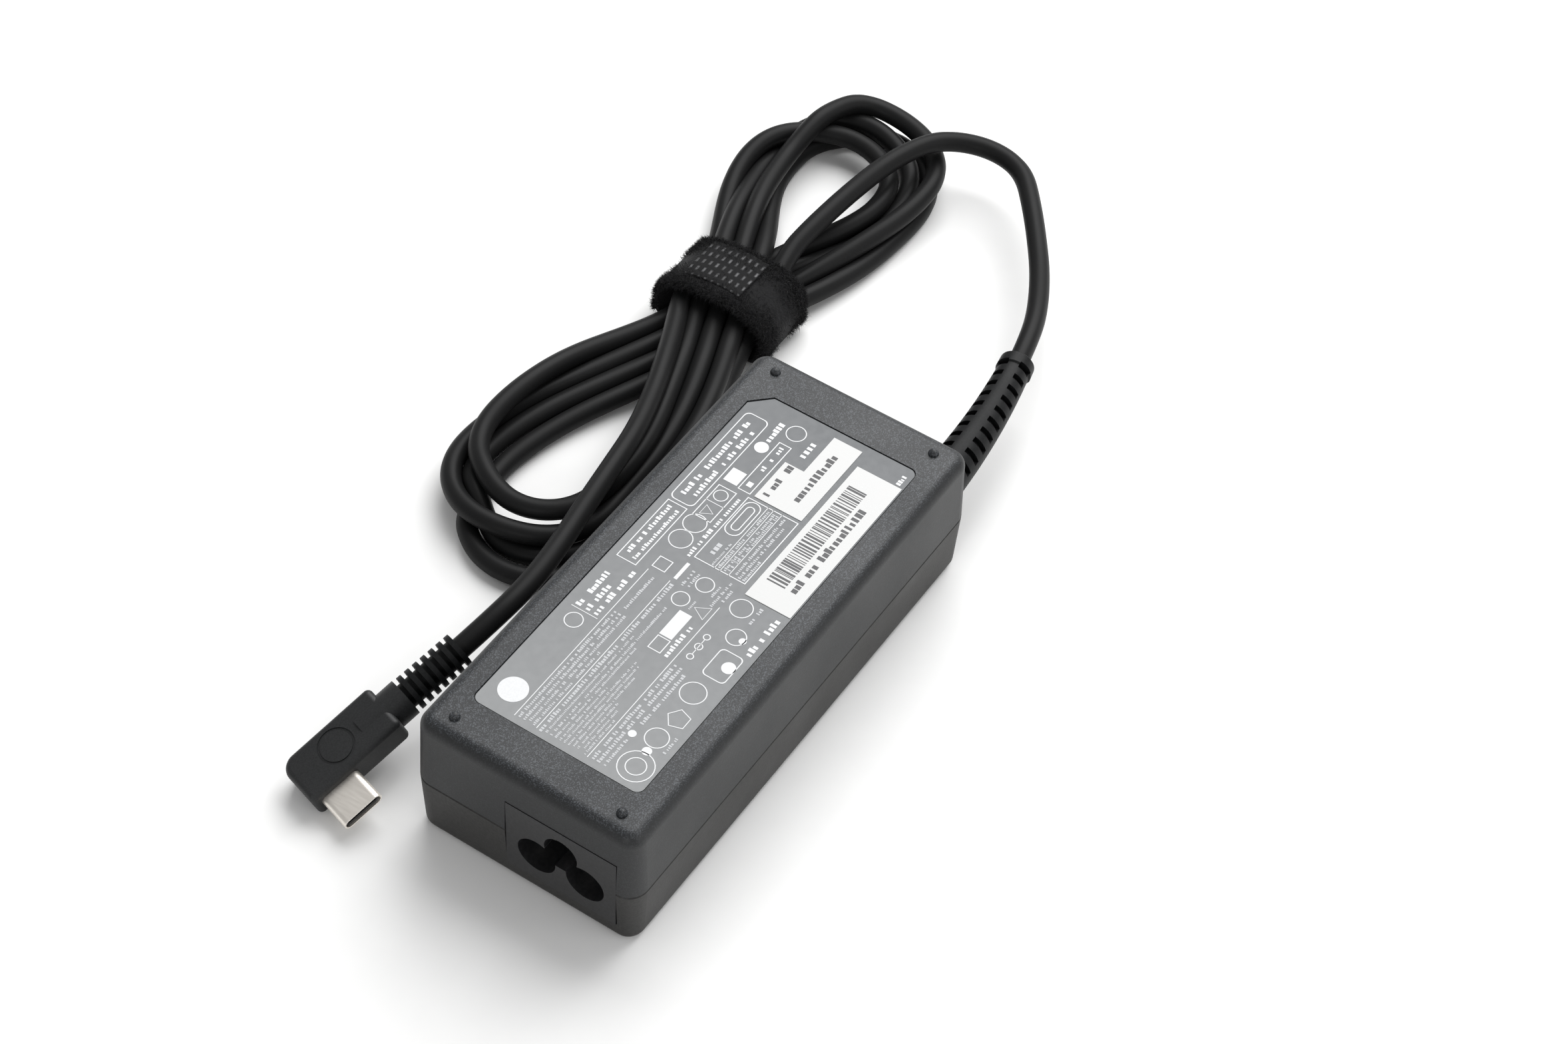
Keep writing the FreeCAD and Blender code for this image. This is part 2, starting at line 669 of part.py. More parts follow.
def make_heat_path(name, x, side, sink_label, device_label, length, height):
    """A plate heatsink along one long side, its power device, and the screw between them."""
    sink_y = f"{side}({BOARD_WIDTH} / 2 - sink_inset)"
    outward = "-" if side == "-" else ""
    inward = "" if side == "-" else "-"
    device_y = f"{sink_y} + {inward}(sink_thickness / 2 + seat_gap + device_thickness / 2)"
    screw_z = f"{BOARD_TOP} + 13"
    plate = block(f"{name}_plate", length, "sink_thickness", height, x, sink_y, BOARD_TOP)
    device = block(f"{name}_case", "10", "device_thickness", "12.5", x, device_y, f"{BOARD_TOP} + 3")
    legs = [block(f"{name}_leg_{index}", "0.9", "0.6", "4", f"{x} + {shift}", device_y, BOARD_TOP)
            for index, shift in enumerate((-2.54, 0, 2.54))]
    device = fuse(f"{name}_device", [device] + legs)
    far_face = f"{sink_y} + {outward}(sink_thickness / 2 + 1.2)"
    near_face = f"{sink_y} + {inward}(sink_thickness / 2 + device_thickness + 2 * seat_gap)"
    low = far_face if side == "-" else near_face
    reach = "sink_thickness + device_thickness + 1.2 + 2 * seat_gap"
    shank = rod(f"{name}_shank", "screw_radius", reach, x, low, screw_z, "y")
    head_y = near_face if side == "-" else f"{near_face} - 1.8"
    head = rod(f"{name}_head", "2.5", "1.8", x, head_y, screw_z, "y")
    holes = [rod(f"{name}_hole_{index}", "screw_radius + screw_gap", "20", x, f"{sink_y} - 10",
                 screw_z, "y") for index in range(2)]
    keep(cut(f"{name}_drilled_plate", plate, holes[0]), sink_label)
    keep(cut(f"{name}_drilled_device", device, holes[1]), device_label)
    return fuse(f"{name}_screw", [shank, head])


def make_transformer():
    """A gapless E-core pair, the bobbin round its middle leg, and the taped winding."""
    x, y = "19", "-4"
    base = f"({BOARD_TOP} + 1.5)"
    window = "((core_length - core_centre) / 2 - core_leg)"
    frame = block("core_frame", "core_length", "core_depth", "core_height", x, y, base)
    window_height = "(core_height - 2 * core_leg)"
    windows = [block(f"core_window_{index}", window, "core_depth + 2", window_height,
                     f"{x} + {sign}(core_centre + {window}) / 2", y, f"{base} + core_leg")
               for index, sign in enumerate(("-", ""))]
    keep(cut("core_open", frame, fuse("core_windows", windows)), "transformer_core")
    inner = "(core_centre + 2 * winding_gap)", "(core_depth + 2 * winding_gap)"
    middle = f"{base} + core_leg + winding_gap"
    spool_height = f"({window_height} - 2 * winding_gap)"
    sleeve = block("spool_sleeve", f"{inner[0]} + 1.4", f"{inner[1]} + 1.4", spool_height, x, y, middle)
    rims = [block(f"spool_rim_{index}", f"{inner[0]} + 2 * {window} - 4 * winding_gap",
                  f"{inner[1]} + 9", "0.7", x, y, height)
            for index, height in enumerate((middle, f"{middle} + {spool_height} - 0.7"))]
    bore = block("spool_bore", *inner, "40", x, y, "0")
    keep(cut("spool", fuse("spool_solid", [sleeve] + rims), bore), "transformer_bobbin")
    turns = block("turns_solid", f"{inner[0]} + 2 * {window} - 6 * winding_gap", f"{inner[1]} + 8",
                  f"{spool_height} - 1.4 - 2 * seat_gap", x, y, f"{middle} + 0.7 + seat_gap")
    room = block("turns_room", f"{inner[0]} + 1.4 + 2 * seat_gap", f"{inner[1]} + 1.4 + 2 * seat_gap",
                 "40", x, y, "0")
    keep(cut("turns", turns, room), "transformer_winding")


def make_output_side():
    """Output capacitors and inductor, the isolator, and the small upright protocol board."""
    right = f"{BOARD_LENGTH} / 2"
    cans = [rod(f"output_can_{index}", "4", "12", f"{right} - 11.2", y, BOARD_TOP)
            for index, y in enumerate(("-12", "-3"))]
    keep(group("output_cans", cans), "output_capacitors")
    spool = rod("inductor_spool", "3", "6", f"{right} - 10.5", "7", BOARD_TOP)
    rims = [rod(f"inductor_rim_{index}", "5", "1.1", f"{right} - 10.5", "7", f"{BOARD_TOP} + {height}")
            for index, height in enumerate((0, 4.9))]
    coil = rod("inductor_coil", "4.5", "3.6", f"{right} - 10.5", "7", f"{BOARD_TOP} + 1.2")
    keep(fuse("inductor", [spool, coil] + rims), "output_inductor")
    keep(block("isolator", "6.5", "4.6", "3.5", "16", "13", BOARD_TOP), "optocoupler")
    keep(block("controller", "9.8", "3.9", "1.6", "2", "-10", BOARD_TOP), "controller_chip")
    plate = block("protocol_plate", "1.2", "16", "12", f"{right} - 3.5", "4", BOARD_TOP)
    chip = block("protocol_chip", "1.4", "5", "5", f"{right} - 4.5", "4", f"{BOARD_TOP} + 4")
    keep(fuse("protocol", [plate, chip]), "output_protocol_board")
    chips = [block(f"smd_{index}", "3.2", "1.6", "0.9", f"{x}", f"{y}", "board_z + seat_gap - 0.95")
             for index, (x, y) in enumerate(((-18, -5), (-10, 3), (-2, -8), (6, 5), (14, -9),
                                             (22, 6), (30, -4), (36, 9)))]
    keep(group("smd", chips), "surface_mount_parts")


def make_screens():
    """An upside-down trough of thin metal over the board, and the plastic liner inside it."""
    outside = "(case_width - 2 * wall - 2 * seat_gap)"
    top = "(case_height - roof - seat_gap)"
    bottom = "(roof + seat_gap)"
    end = f"{BOARD_LENGTH} / 2"
    first = f"({INLET_X} + inlet_depth + 2.8)"
    layers = (("emi_shield", "0", "shield_thickness"),
              ("insulation_sheet", "(shield_thickness + seat_gap)", "insulation_thickness"))
    for label, inset, thickness in layers:
        length = f"({end} - 1.5 - {first} - 2 * {inset})"
        x = f"({end} - 1.5 + {first}) / 2"
        width, height = f"({outside} - 2 * {inset})", f"({top} - {inset} - {bottom})"
        body = block(f"{label}_block", length, width, height, x, "0", bottom)
        room = block(f"{label}_room", f"{length} + 2", f"{width} - 2 * {thickness}", height,
                     x, "0", f"{bottom} - {thickness}")
        keep(cut(f"{label}_trough", body, room), label)


# --------------------------------------------------------------- cord and its reliefs
def cord_path(points):
    """Straight runs joined by tangent arcs, each arc as large as its two runs allow."""
    edges = []
    radii = []
    start = points[0]
    for before, corner, after in zip(points, points[1:], points[2:]):
        incoming = (corner - before).normalize()
        outgoing = (after - corner).normalize()
        half_turn = incoming.getAngle(outgoing) / 2
        reach = 0.45 * min(corner.distanceToPoint(before), corner.distanceToPoint(after))
        radius = reach / math.tan(half_turn)
        inward = (outgoing - incoming).normalize()
        middle = corner + inward * (reach / math.sin(half_turn) - radius)
        first, last = corner - incoming * reach, corner + outgoing * reach
        edges.append(Part.LineSegment(start, first).toShape())
        edges.append(Part.Arc(first, middle, last).toShape())
        radii.append(radius)
        start = last
    edges.append(Part.LineSegment(start, points[-1]).toShape())
    return Part.Wire(edges), radii


def tube_along(name, points, radius):
    """A round tube along a route, checked against its section times its length."""
    path, radii = cord_path(points)
    section = Part.Wire(Part.makeCircle(radius, points[0], points[1] - points[0]))
    tube = path.makePipeShell([section], True, False)
    expected = math.pi * radius ** 2 * path.Length
    print(name, "length", round(path.Length, 1), "radii", [round(size, 1) for size in radii],
          "volume ratio", round(tube.Volume / expected, 4))
    if abs(tube.Volume / expected - 1) > 0.01:
        raise RuntimeError(f"{name} has the wrong volume")
    return tube


def make_output_wires():
    """Two wires from the board's edge up to the cord's end inside the case."""
    radius = value("wire_radius")
    inner_face = value(f"{CASE_END} - wall - seat_gap - relief_flange - seat_gap")
    x = value(f"{BOARD_LENGTH} / 2 - 5.5")
    for label, shift in (("output_wire_positive", 1.2), ("output_wire_negative", -1.2)):
        y = value("relief_y") + shift
        top, bottom = value("seam_height"), value(BOARD_TOP)
        route = [Vector(inner_face, y, top), Vector(x, y, top), Vector(x, y, bottom)]
        keep(solid_from(label, tube_along(label, route, radius)), label)


def relief_frame(distance):
    """The point and turn of the case relief's centre line at a distance past the wall."""
    length, turn = value("relief_length"), math.radians(value("relief_turn"))
    bend = length / turn
    angle = max(distance, 0) / bend
    point = Vector(value(CASE_END) + bend * math.sin(angle) + min(distance, 0),
                   value("relief_y") + bend * (1 - math.cos(angle)), value("seam_height"))
    ahead = Vector(math.cos(angle), math.sin(angle), 0)
    up = Vector(0, 0, 1)
    return Placement(point, Rotation(up, ahead.cross(up), ahead, "ZXY"))


def relief_radius(distance):
    """The taper of the case relief, from its root at the wall to its tip."""
    share = distance / value("relief_length")
    return value("relief_root") + share * value("relief_tip - relief_root")


def ring_at(distance, radius):
    """A circle across the case relief's centre line."""
    circle = Part.Wire(Part.makeCircle(radius))
    circle.Placement = relief_frame(distance)
    return circle


def make_case_relief():
    """The tapered moulded sleeve that guides the cord out, with four rows of flex slots."""
    length = value("relief_length")
    collar = 3.2
    stations = [index * (length - collar) / 6 for index in range(7)]
    sleeve = Part.makeLoft([ring_at(s, relief_radius(s)) for s in stations], True)
    end_rings = [ring_at(s, relief_radius(s) + grown) for s, grown in
                 ((length - collar, 0.0), (length - collar + 0.3, 0.35),
                  (length - 0.5, 0.35), (length, -0.1))]
    end_collar = Part.makeLoft(end_rings, True, True)
    wall, gap = value("wall"), value("seat_gap")
    neck = Part.makeCylinder(value("relief_root"), wall + gap + 0.2, Vector(0, 0, -wall - gap - 0.1))
    flange_start = -wall - gap - value("relief_flange")
    flange = Part.makeCylinder(value("relief_root + relief_rim"), value("relief_flange"),
                               Vector(0, 0, flange_start))
    for piece in (neck, flange):
        piece.Placement = relief_frame(0).multiply(piece.Placement)
    clear_y = value("case_width / 2 - corner_radius")
    room = Part.makeBox(20, 2 * clear_y, 60, Vector(value(CASE_END) - 10, -clear_y, -10))
    flange = flange.common(room)
    body = sleeve.fuse([end_collar, neck, flange])
    pitch, slot, depth = (value(word) for word in ("relief_pitch", "relief_slot", "relief_slot_depth"))
    cutters = []
    for index in range(11):
        start = 2.1 + index * pitch
        outside = relief_radius(start)
        for middle in (45, 135, 225, 315):
            sector = Part.makeCylinder(outside + 1, slot, Vector(), Vector(0, 0, 1), 52)
            sector = sector.cut(Part.makeCylinder(outside - depth, slot))
            sector.rotate(Vector(), Vector(0, 0, 1), middle - 26)
            sector.Placement = relief_frame(start).multiply(sector.Placement)
            cutters.append(sector)
    body = body.cut(cutters)
    keep(solid_from("case_relief", body), "output_strain_relief")


CORD_X, CORD_Y = "(case_length / 2)", "(case_width / 2)"
PLUG_TURN = Rotation(value("plug_yaw"), value("plug_pitch"), value("plug_roll"))
PLUG_X, PLUG_Y = f"({CORD_X} + plug_x)", f"({CORD_Y} + plug_y)"
PLUG_PLACE = Placement(Vector(value(PLUG_X), value(PLUG_Y), value("plug_lift")), PLUG_TURN)
PLUG_AXIS_Y = "plug_width / 2"
RELIEF_START = "(plug_back + collar_length + seat_gap)"
RING_COUNT = 7

# The free cord from the case's relief to the tied waist; its first run follows the relief's axis.
CASE_LEAD_START = 6.0
CASE_LEAD = [
    (51.5, -30.9, 12.7), (62, -25.5, 11.8), (72, -18.7, 11.2), (79.3, -13.2, 11),
    (85.2, -8.2, 10.9), (87.7, -2.8, 10.8), (87.7, 3, 10.9), (85.3, 8.4, 11.3),
    (80.9, 12.4, 12), (70.7, 15.6, 12.5), (58.5, 17.7, 11.5), (46.5, 18.9, 10.5), (36, 19.4, 8.2),
]
# The free cord from the plug's relief to the tied waist.
PLUG_LEAD_START = 7.5
PLUG_LEAD = [
    (-65, 6, 18.8), (-54.5, 7.5, 17.5), (-41.5, 10.4, 15.5), (-30.5, 12.6, 14),
    (-19.5, 14.7, 12.8), (-8.5, 17.6, 11.8), (1.5, 21, 10.6), (9, 23.6, 9.3), (15.8, 25.4, 7.6),
]


def beside(x, y, z):
    """A point of the cord, counted from the case's +X +Y corner so that it moves with the case."""
    return Vector(value(CORD_X) + x, value(CORD_Y) + y, z)


def plug_tip():
    """Where the cord leaves the plug's strain relief."""
    length = value(f"{RELIEF_START} + {RING_COUNT} * ring_pitch")
    return PLUG_PLACE.multVec(Vector(length, value(PLUG_AXIS_Y), 0))


def make_cord():
    """The two free leads of the cord and the tied hank between them."""
    radius = value("cord_diameter") / 2
    case_tip = relief_frame(value("relief_length"))
    case_axis = case_tip.Rotation.multVec(Vector(0, 0, 1))
    plug_axis = PLUG_TURN.multVec(Vector(1, 0, 0))
    leads = (("cord_lead_case", case_tip.Base, case_axis * CASE_LEAD_START, CASE_LEAD),
             ("cord_lead_plug", plug_tip(), plug_axis * PLUG_LEAD_START, PLUG_LEAD))
    for label, start, first_run, points in leads:
        route = [start, start + first_run] + [beside(*point) for point in points]
        print(label, [[round(part, 3) for part in point] for point in route[:2]])
        keep(solid_from(label, tube_along(label, route, radius)), label)
    make_hank()


HANK_LOOPS = (
    (((12.5, 33.2), (-3.5, 40.7), (-15.5, 45.7), (-28.5, 46.7), (-45.5, 43.7), (-56.5, 31.7),
      (-58, 18.7), (-53.5, 7.7), (-41.5, 2.7), (-8.5, 2.7), (12.5, 10.7)),
     ((-39.5, 29.7), (-31.5, 33.7), (-18.5, 33.7), (-1.5, 26.7), (6.5, 22.7), (-3.5, 17.7),
      (-18.5, 15.7), (-35.5, 17.7))),
    (((38.5, 11.7), (51.5, 3.7), (68.5, 3.7), (82.5, 10.7), (90.5, 22.7), (89.5, 31.7),
      (79.5, 39.7), (61.5, 43.7), (44.5, 38.7), (36.5, 34.7)),
     ((43.5, 25.7), (68.5, 32.7), (74.5, 26.7), (73.5, 18.7), (58.5, 13.7), (45.5, 17.7))),
)


def smooth_slab(corners, bottom, top, closed):
    """A slab whose outline is a smooth curve through the corners."""
    curve = Part.BSplineCurve()
    curve.interpolate([beside(x, y, bottom) for x, y in corners], PeriodicFlag=closed)
    edges = [curve.toShape()]
    if not closed:
        edges.append(Part.makeLine(curve.EndPoint, curve.StartPoint))
    return Part.Face(Part.Wire(edges)).extrude(Vector(0, 0, top - bottom))


def make_hank():
    """The outer shape of the wound cord: two loops, each with an eye, and the waist in the tie."""
    top = value("hank_height")
    inside_width = value("tie_width - 2 * tie_thickness - 2 * tie_gap")
    low, high = value("tie_thickness + tie_gap"), value("tie_height - tie_thickness - tie_gap")
    corner = beside(value("tie_x") - 12.5, value("tie_y") - inside_width / 2, low)
    waist = Part.makeBox(25, inside_width, high - low, corner)
    loops = []
    for outline, eye in HANK_LOOPS:
        loop = smooth_slab(outline, 0.2, top, False)
        loops.append(loop.cut(smooth_slab(eye, -1, top + 1, True)))
    keep(solid_from("hank", waist.fuse(loops)), "cord_hank")


def make_tie():
    """The hook-and-loop band round the waist, and the end of the band that lies on top."""
    body = new_body("cable_tie_strap", x=f"{CORD_X} + tie_x", y=f"{CORD_Y} + tie_y",
                    z="tie_height / 2")
    outline = new_sketch(body, "outline", "YZ_Plane")
    draw_rectangle(outline, "tie_width", "tie_height")
    pad(body, outline, "tie_band", symmetric=True)
    fillet(body, lambda edge: runs_along(edge, "x"), "4.2")
    inside = new_sketch(body, "inside", "YZ_Plane")
    draw_rectangle(inside, "tie_width - 2 * tie_thickness", "tie_height - 2 * tie_thickness")
    pocket(body, inside, "tie_band + 1", symmetric=True)
    inner_y = value("tie_width / 2 - tie_thickness")
    fillet(body, lambda edge: is_band_corner(edge, inner_y), "0.8")
    body = new_body("cable_tie_tab", x=f"{CORD_X} + tie_x + 2",
                    y=f"{CORD_Y} + tie_y + 2.5", z="tie_height + seat_gap")
    patch = new_sketch(body, "patch")
    draw_rectangle(patch, "13", "10")
    pad(body, patch, "0.8")


def is_band_corner(edge, inner_y):
    """True for the band's inside corner edges."""
    return runs_along(edge, "x") and abs(abs(edge.BoundBox.Center.y) - inner_y) < 0.01


# ------------------------------------------------------------------------- the plug
def plug_body(label):
    """A body in the plug's own frame: X to the cord, -Y out of the shell's mouth."""
    return new_body(label, PLUG_X, PLUG_Y, "plug_lift", PLUG_TURN)


def make_overmold():
    """The plug's block with its cable collar, an engraved ring, and the cavity for the shell."""
    body = plug_body("plug_overmold")
    block_x = "plug_back - plug_length / 2"
    outline = new_sketch(body, "outline", x=block_x, y="plug_width / 2")
    draw_rectangle(outline, "plug_length", "plug_width")
    pad(body, outline, "plug_thickness", symmetric=True)
    left, far = value("plug_back - plug_length"), value("plug_width")
    fillet(body, lambda edge: is_upright_at(edge, left, far), "3")
    fillet(body, lambda edge: is_sharp_upright(edge), "1")
    half = value("plug_thickness / 2")
    fillet(body, lambda edge: lies_at(edge, "z", half) or lies_at(edge, "z", -half), "1.2")
    collar = new_sketch(body, "collar", "YZ_Plane", x=PLUG_AXIS_Y, z="plug_back - 6")
    draw_circle(collar, "collar_radius")
    pad(body, collar, "collar_length + 6")
    ring = new_sketch(body, "ring", x="4.1", y=PLUG_AXIS_Y, z="plug_thickness / 2")
    draw_circle(ring, "3.5")
    draw_circle(ring, "3.0")
    pocket(body, ring, "0.2")
    mouth = new_sketch(body, "mouth", "XZ_Plane")
    draw_stadium(mouth, "usb_width + 2 * usb_gap", "usb_height + 2 * usb_gap")
    pocket(body, mouth, "8")


def is_upright_at(edge, x, y):
    """True for an upright edge at one corner of the plan."""
    centre = edge.BoundBox.Center
    return runs_along(edge, "z") and abs(centre.x - x) < 0.01 and abs(centre.y - y) < 0.01


def is_sharp_upright(edge):
    """True for an upright edge at a corner of the plan that isn't rounded yet."""
    left, right = value("plug_back - plug_length"), value("plug_back")
    return is_upright_at(edge, left, 0) or is_upright_at(edge, right, 0) or \
        is_upright_at(edge, right, value("plug_width"))


def make_plug_relief():
    """The plug's ringed sleeve: a core with evenly spaced ribs."""
    body = plug_body("plug_strain_relief")
    core = new_sketch(body, "core", "YZ_Plane", x=PLUG_AXIS_Y, z=RELIEF_START)
    draw_circle(core, "ring_core")
    pad(body, core, f"{RING_COUNT} * ring_pitch")
    for index in range(RING_COUNT):
        rib = new_sketch(body, f"rib_{index}", "YZ_Plane", x=PLUG_AXIS_Y,
                         z=f"{RELIEF_START} + 0.8 + {index} * ring_pitch")
        draw_circle(rib, f"ring_radius - 0.035 * {index}")
        pad(body, rib, "ring_width")


def make_usb_parts():
    """The plug's metal shell, its plastic liner, two rows of contacts and the board behind."""
    shell = plug_body("usb_shell")
    section = new_sketch(shell, "section", "XZ_Plane", z="-usb_inside")
    draw_stadium(section, "usb_width", "usb_height")
    draw_stadium(section, "usb_width - 2 * usb_wall", "usb_height - 2 * usb_wall")
    pad(shell, section, "usb_reach + usb_inside")
    liner = plug_body("usb_insulator")
    section = new_sketch(liner, "section", "XZ_Plane", z="-usb_inside")
    inset = "2 * (usb_wall + usb_gap)"
    draw_stadium(section, f"usb_width - {inset}", f"usb_height - {inset}")
    pad(liner, section, "usb_reach + usb_inside - 0.4")
    mouth = new_sketch(liner, "mouth", "XZ_Plane", z="usb_reach - 0.4")
    draw_rectangle(mouth, f"usb_width - {inset} - 1.1", f"usb_height - {inset} - 1")
    pocket(liner, mouth, "5.4")
    contact_height = f"((usb_height - {inset} - 1) / 2 - seat_gap)"
    bars = []
    for index in range(12):
        for row, sign in enumerate((1, -1)):
            bar = document.addObject("Part::Box", f"contact_{index}_{row}")
            bar.Length, bar.Height = 0.25, 0.12
            bind(bar, "Width", "3.6")
            local = Vector(-2.75 + 0.5 * index - 0.125, value("-usb_reach + 1.6"),
                           sign * (value(contact_height) - 0.06) - 0.06)
            bar.Placement = PLUG_PLACE.multiply(Placement(local, Rotation()))
            bars.append(bar)
    keep(group("contacts", bars), "usb_contacts")
    board = plug_body("plug_circuit_board")
    outline = new_sketch(board, "outline", y="usb_inside + 0.3 + 2.4")
    draw_rectangle(outline, "usb_width - 1.2", "4.8")
    pad(board, outline, "0.8", symmetric=True)


# ------------------------------------------------------------------------- assembly
make_top_shell()
make_bottom_shell()
make_labels()
make_inlet()
make_inlet_pins()
make_circuit_board()
make_mains_side()
screws = [
    make_heat_path("primary", "-6", "-", "primary_heatsink", "power_transistor", "26", "18"),
    make_heat_path("secondary", "28", "", "secondary_heatsink", "output_rectifier", "14", "18"),
]
keep(group("screws", screws), "heatsink_screws")
make_transformer()
make_output_side()
make_screens()
make_output_wires()
make_case_relief()
make_cord()
make_tie()
make_overmold()
make_plug_relief()
make_usb_parts()

document.recompute()
for item in document.Objects:
    if "Invalid" in item.State or "Error" in item.State:
        raise RuntimeError(f"{item.Name} is {item.State}")
for item in sub_parts:
    if item.Shape.isNull() or not item.Shape.isValid():
        raise RuntimeError(f"{item.Label} has no valid shape")

os.makedirs("parts", exist_ok=True)
for item in sub_parts:
    item.Shape.exportStep(f"parts/{item.Label}.step")
    box = item.Shape.BoundBox
    print(item.Label, "solids", len(item.Shape.Solids), "volume", round(item.Shape.Volume, 1))
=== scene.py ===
# %% [markdown]
# # A laptop power adapter, its tied cord and its angled plug
# The case, the connectors and the electronics are exact mechanical shapes, so they come
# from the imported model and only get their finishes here.  The cord, the fabric tie, the
# printing on the label and the fuzz on the tie are soft or very thin, so they are made here
# as surfaces and curves worked out with numpy.

# %% Load the frame
import math

import bpy
import numpy as np
from mathutils import Matrix, Vector


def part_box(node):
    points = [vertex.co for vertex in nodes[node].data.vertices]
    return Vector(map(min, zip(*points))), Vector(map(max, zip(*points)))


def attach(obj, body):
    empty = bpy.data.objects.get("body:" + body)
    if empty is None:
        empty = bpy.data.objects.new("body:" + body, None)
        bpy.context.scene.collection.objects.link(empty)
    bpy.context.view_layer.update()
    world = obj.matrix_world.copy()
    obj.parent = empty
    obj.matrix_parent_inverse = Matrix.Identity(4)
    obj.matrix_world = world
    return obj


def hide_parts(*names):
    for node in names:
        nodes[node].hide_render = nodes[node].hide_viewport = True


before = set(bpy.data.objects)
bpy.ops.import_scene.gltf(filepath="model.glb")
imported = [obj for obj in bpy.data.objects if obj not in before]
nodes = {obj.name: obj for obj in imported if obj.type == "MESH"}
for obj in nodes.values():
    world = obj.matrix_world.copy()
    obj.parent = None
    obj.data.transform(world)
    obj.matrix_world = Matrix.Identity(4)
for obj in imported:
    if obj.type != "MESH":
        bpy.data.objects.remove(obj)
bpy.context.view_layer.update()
MM = 0.001


# %% [markdown]
# ## Camera, floor and light
# The adapter is seen from above the inlet's end with a long lens, so its edges stay almost
# parallel.  The floor is a plain pale sheet, and the Standard view lets it come out white.
# One very large soft light behind and above the object gives the label its pale sheen and
# leaves the near sides dark, and a weaker one beside it opens up the dark plastic so its
# grain can be seen.  A small one faces the inlet and lights the pins in their dark recess.

# %% Camera
LENS_MM = 75.9
CAMERA_AT = (-308.7, -196.6, 472.4)
RIGHT, UP, BACK = (0.550, -0.834, 0.045), (0.618, 0.443, 0.650), (-0.562, -0.330, 0.759)

camera_data = bpy.data.cameras.new("camera")
camera_data.lens = LENS_MM
camera_data.sensor_width = 36.0
camera_data.clip_start = 0.01
camera = bpy.data.objects.new("camera", camera_data)
bpy.context.scene.collection.objects.link(camera)
# The three directions are rounded, so the nearest true rotation is taken from their SVD.
columns = np.array([RIGHT, UP, BACK], float).T
left, _, right = np.linalg.svd(columns)
turn = Matrix((left @ right).tolist()).to_4x4()
camera.matrix_world = Matrix.Translation(Vector(CAMERA_AT) * MM) @ turn
bpy.context.scene.camera = camera
bpy.context.scene.view_settings.view_transform = "Standard"
print("camera lens in mm:", LENS_MM, "at:", CAMERA_AT)


# %% Meshes from arrays
def new_mesh(name, points, faces, smooth=True):
    """An object at the origin made from an (n, 3) array of metres and an (m, 3 or 4) array."""
    points = np.asarray(points, dtype=np.float32)
    faces = np.asarray(faces, dtype=np.int32)
    mesh = bpy.data.meshes.new(name)
    sides = faces.shape[1]
    mesh.vertices.add(len(points))
    mesh.vertices.foreach_set("co", points.ravel())
    mesh.loops.add(faces.size)
    mesh.loops.foreach_set("vertex_index", faces.ravel())
    mesh.polygons.add(len(faces))
    mesh.polygons.foreach_set("loop_start", np.arange(0, faces.size, sides, dtype=np.int32))
    mesh.polygons.foreach_set("use_smooth", np.full(len(faces), smooth))
    mesh.update(calc_edges=True)
    mesh.validate()
    piece = bpy.data.objects.new(name, mesh)
    bpy.context.scene.collection.objects.link(piece)
    return piece


def grid_faces(rows, columns, wrap_rows=False, wrap_columns=False):
    """The quads of a grid of points numbered row by row, closed on itself where asked."""
    row = np.arange(rows if wrap_rows else rows - 1)
    column = np.arange(columns if wrap_columns else columns - 1)
    a, b = np.meshgrid(row, column, indexing="ij")
    following_a, following_b = (a + 1) % rows, (b + 1) % columns
    corners = (a * columns + b, following_a * columns + b,
               following_a * columns + following_b, a * columns + following_b)
    return np.stack([corner.ravel() for corner in corners], axis=1)


# %% Floor
FLOOR_Z = -0.00002
REACH = 1.6
floor = new_mesh("floor", [(-REACH, -REACH, FLOOR_Z), (REACH, -REACH, FLOOR_Z),
                           (REACH, REACH, FLOOR_Z), (-REACH, REACH, FLOOR_Z)],
                 [(0, 1, 2, 3)], smooth=False)
print("floor in metres:", 2 * REACH, "square")

# %% Surrounding light and lamps
world = bpy.data.worlds.new("studio")
bpy.context.scene.world = world
world.use_nodes = True
surroundings = world.node_tree.nodes["Background"]
surroundings.inputs["Color"].default_value = (1.0, 1.0, 1.0, 1)
surroundings.inputs["Strength"].default_value = 0.40


def area_light(name, place, target, size, power):
    """A square soft box at a place in metres, turned to face a target."""
    data = bpy.data.lights.new(name, "AREA")
    data.size = size
    data.energy = power
    lamp = bpy.data.objects.new(name, data)
    lamp.location = place
    direction = Vector(target) - Vector(place)
    lamp.rotation_euler = direction.to_track_quat("-Z", "Y").to_euler()
    bpy.context.scene.collection.objects.link(lamp)
    print("lamp:", name, "watts:", power)


area_light("key", (0.66, 0.10, 0.82), (0.03, 0.02, 0.01), 0.95, 13.5)
area_light("side", (0.05, -0.85, 0.45), (0.0, 0.0, 0.01), 0.8, 2.2)
area_light("inlet", (-0.55, -0.12, 0.30), (-0.05, -0.008, 0.012), 0.12, 0.5)


# %% [markdown]
# ## Shader maths as Python
# A finish is easier to read as an expression than as a list of nodes.  The small class below
# holds one output socket.  Adding to it or multiplying it adds a Math node, and its `node`
# method adds any other kind.  Only the operators that the finishes use are overloaded.

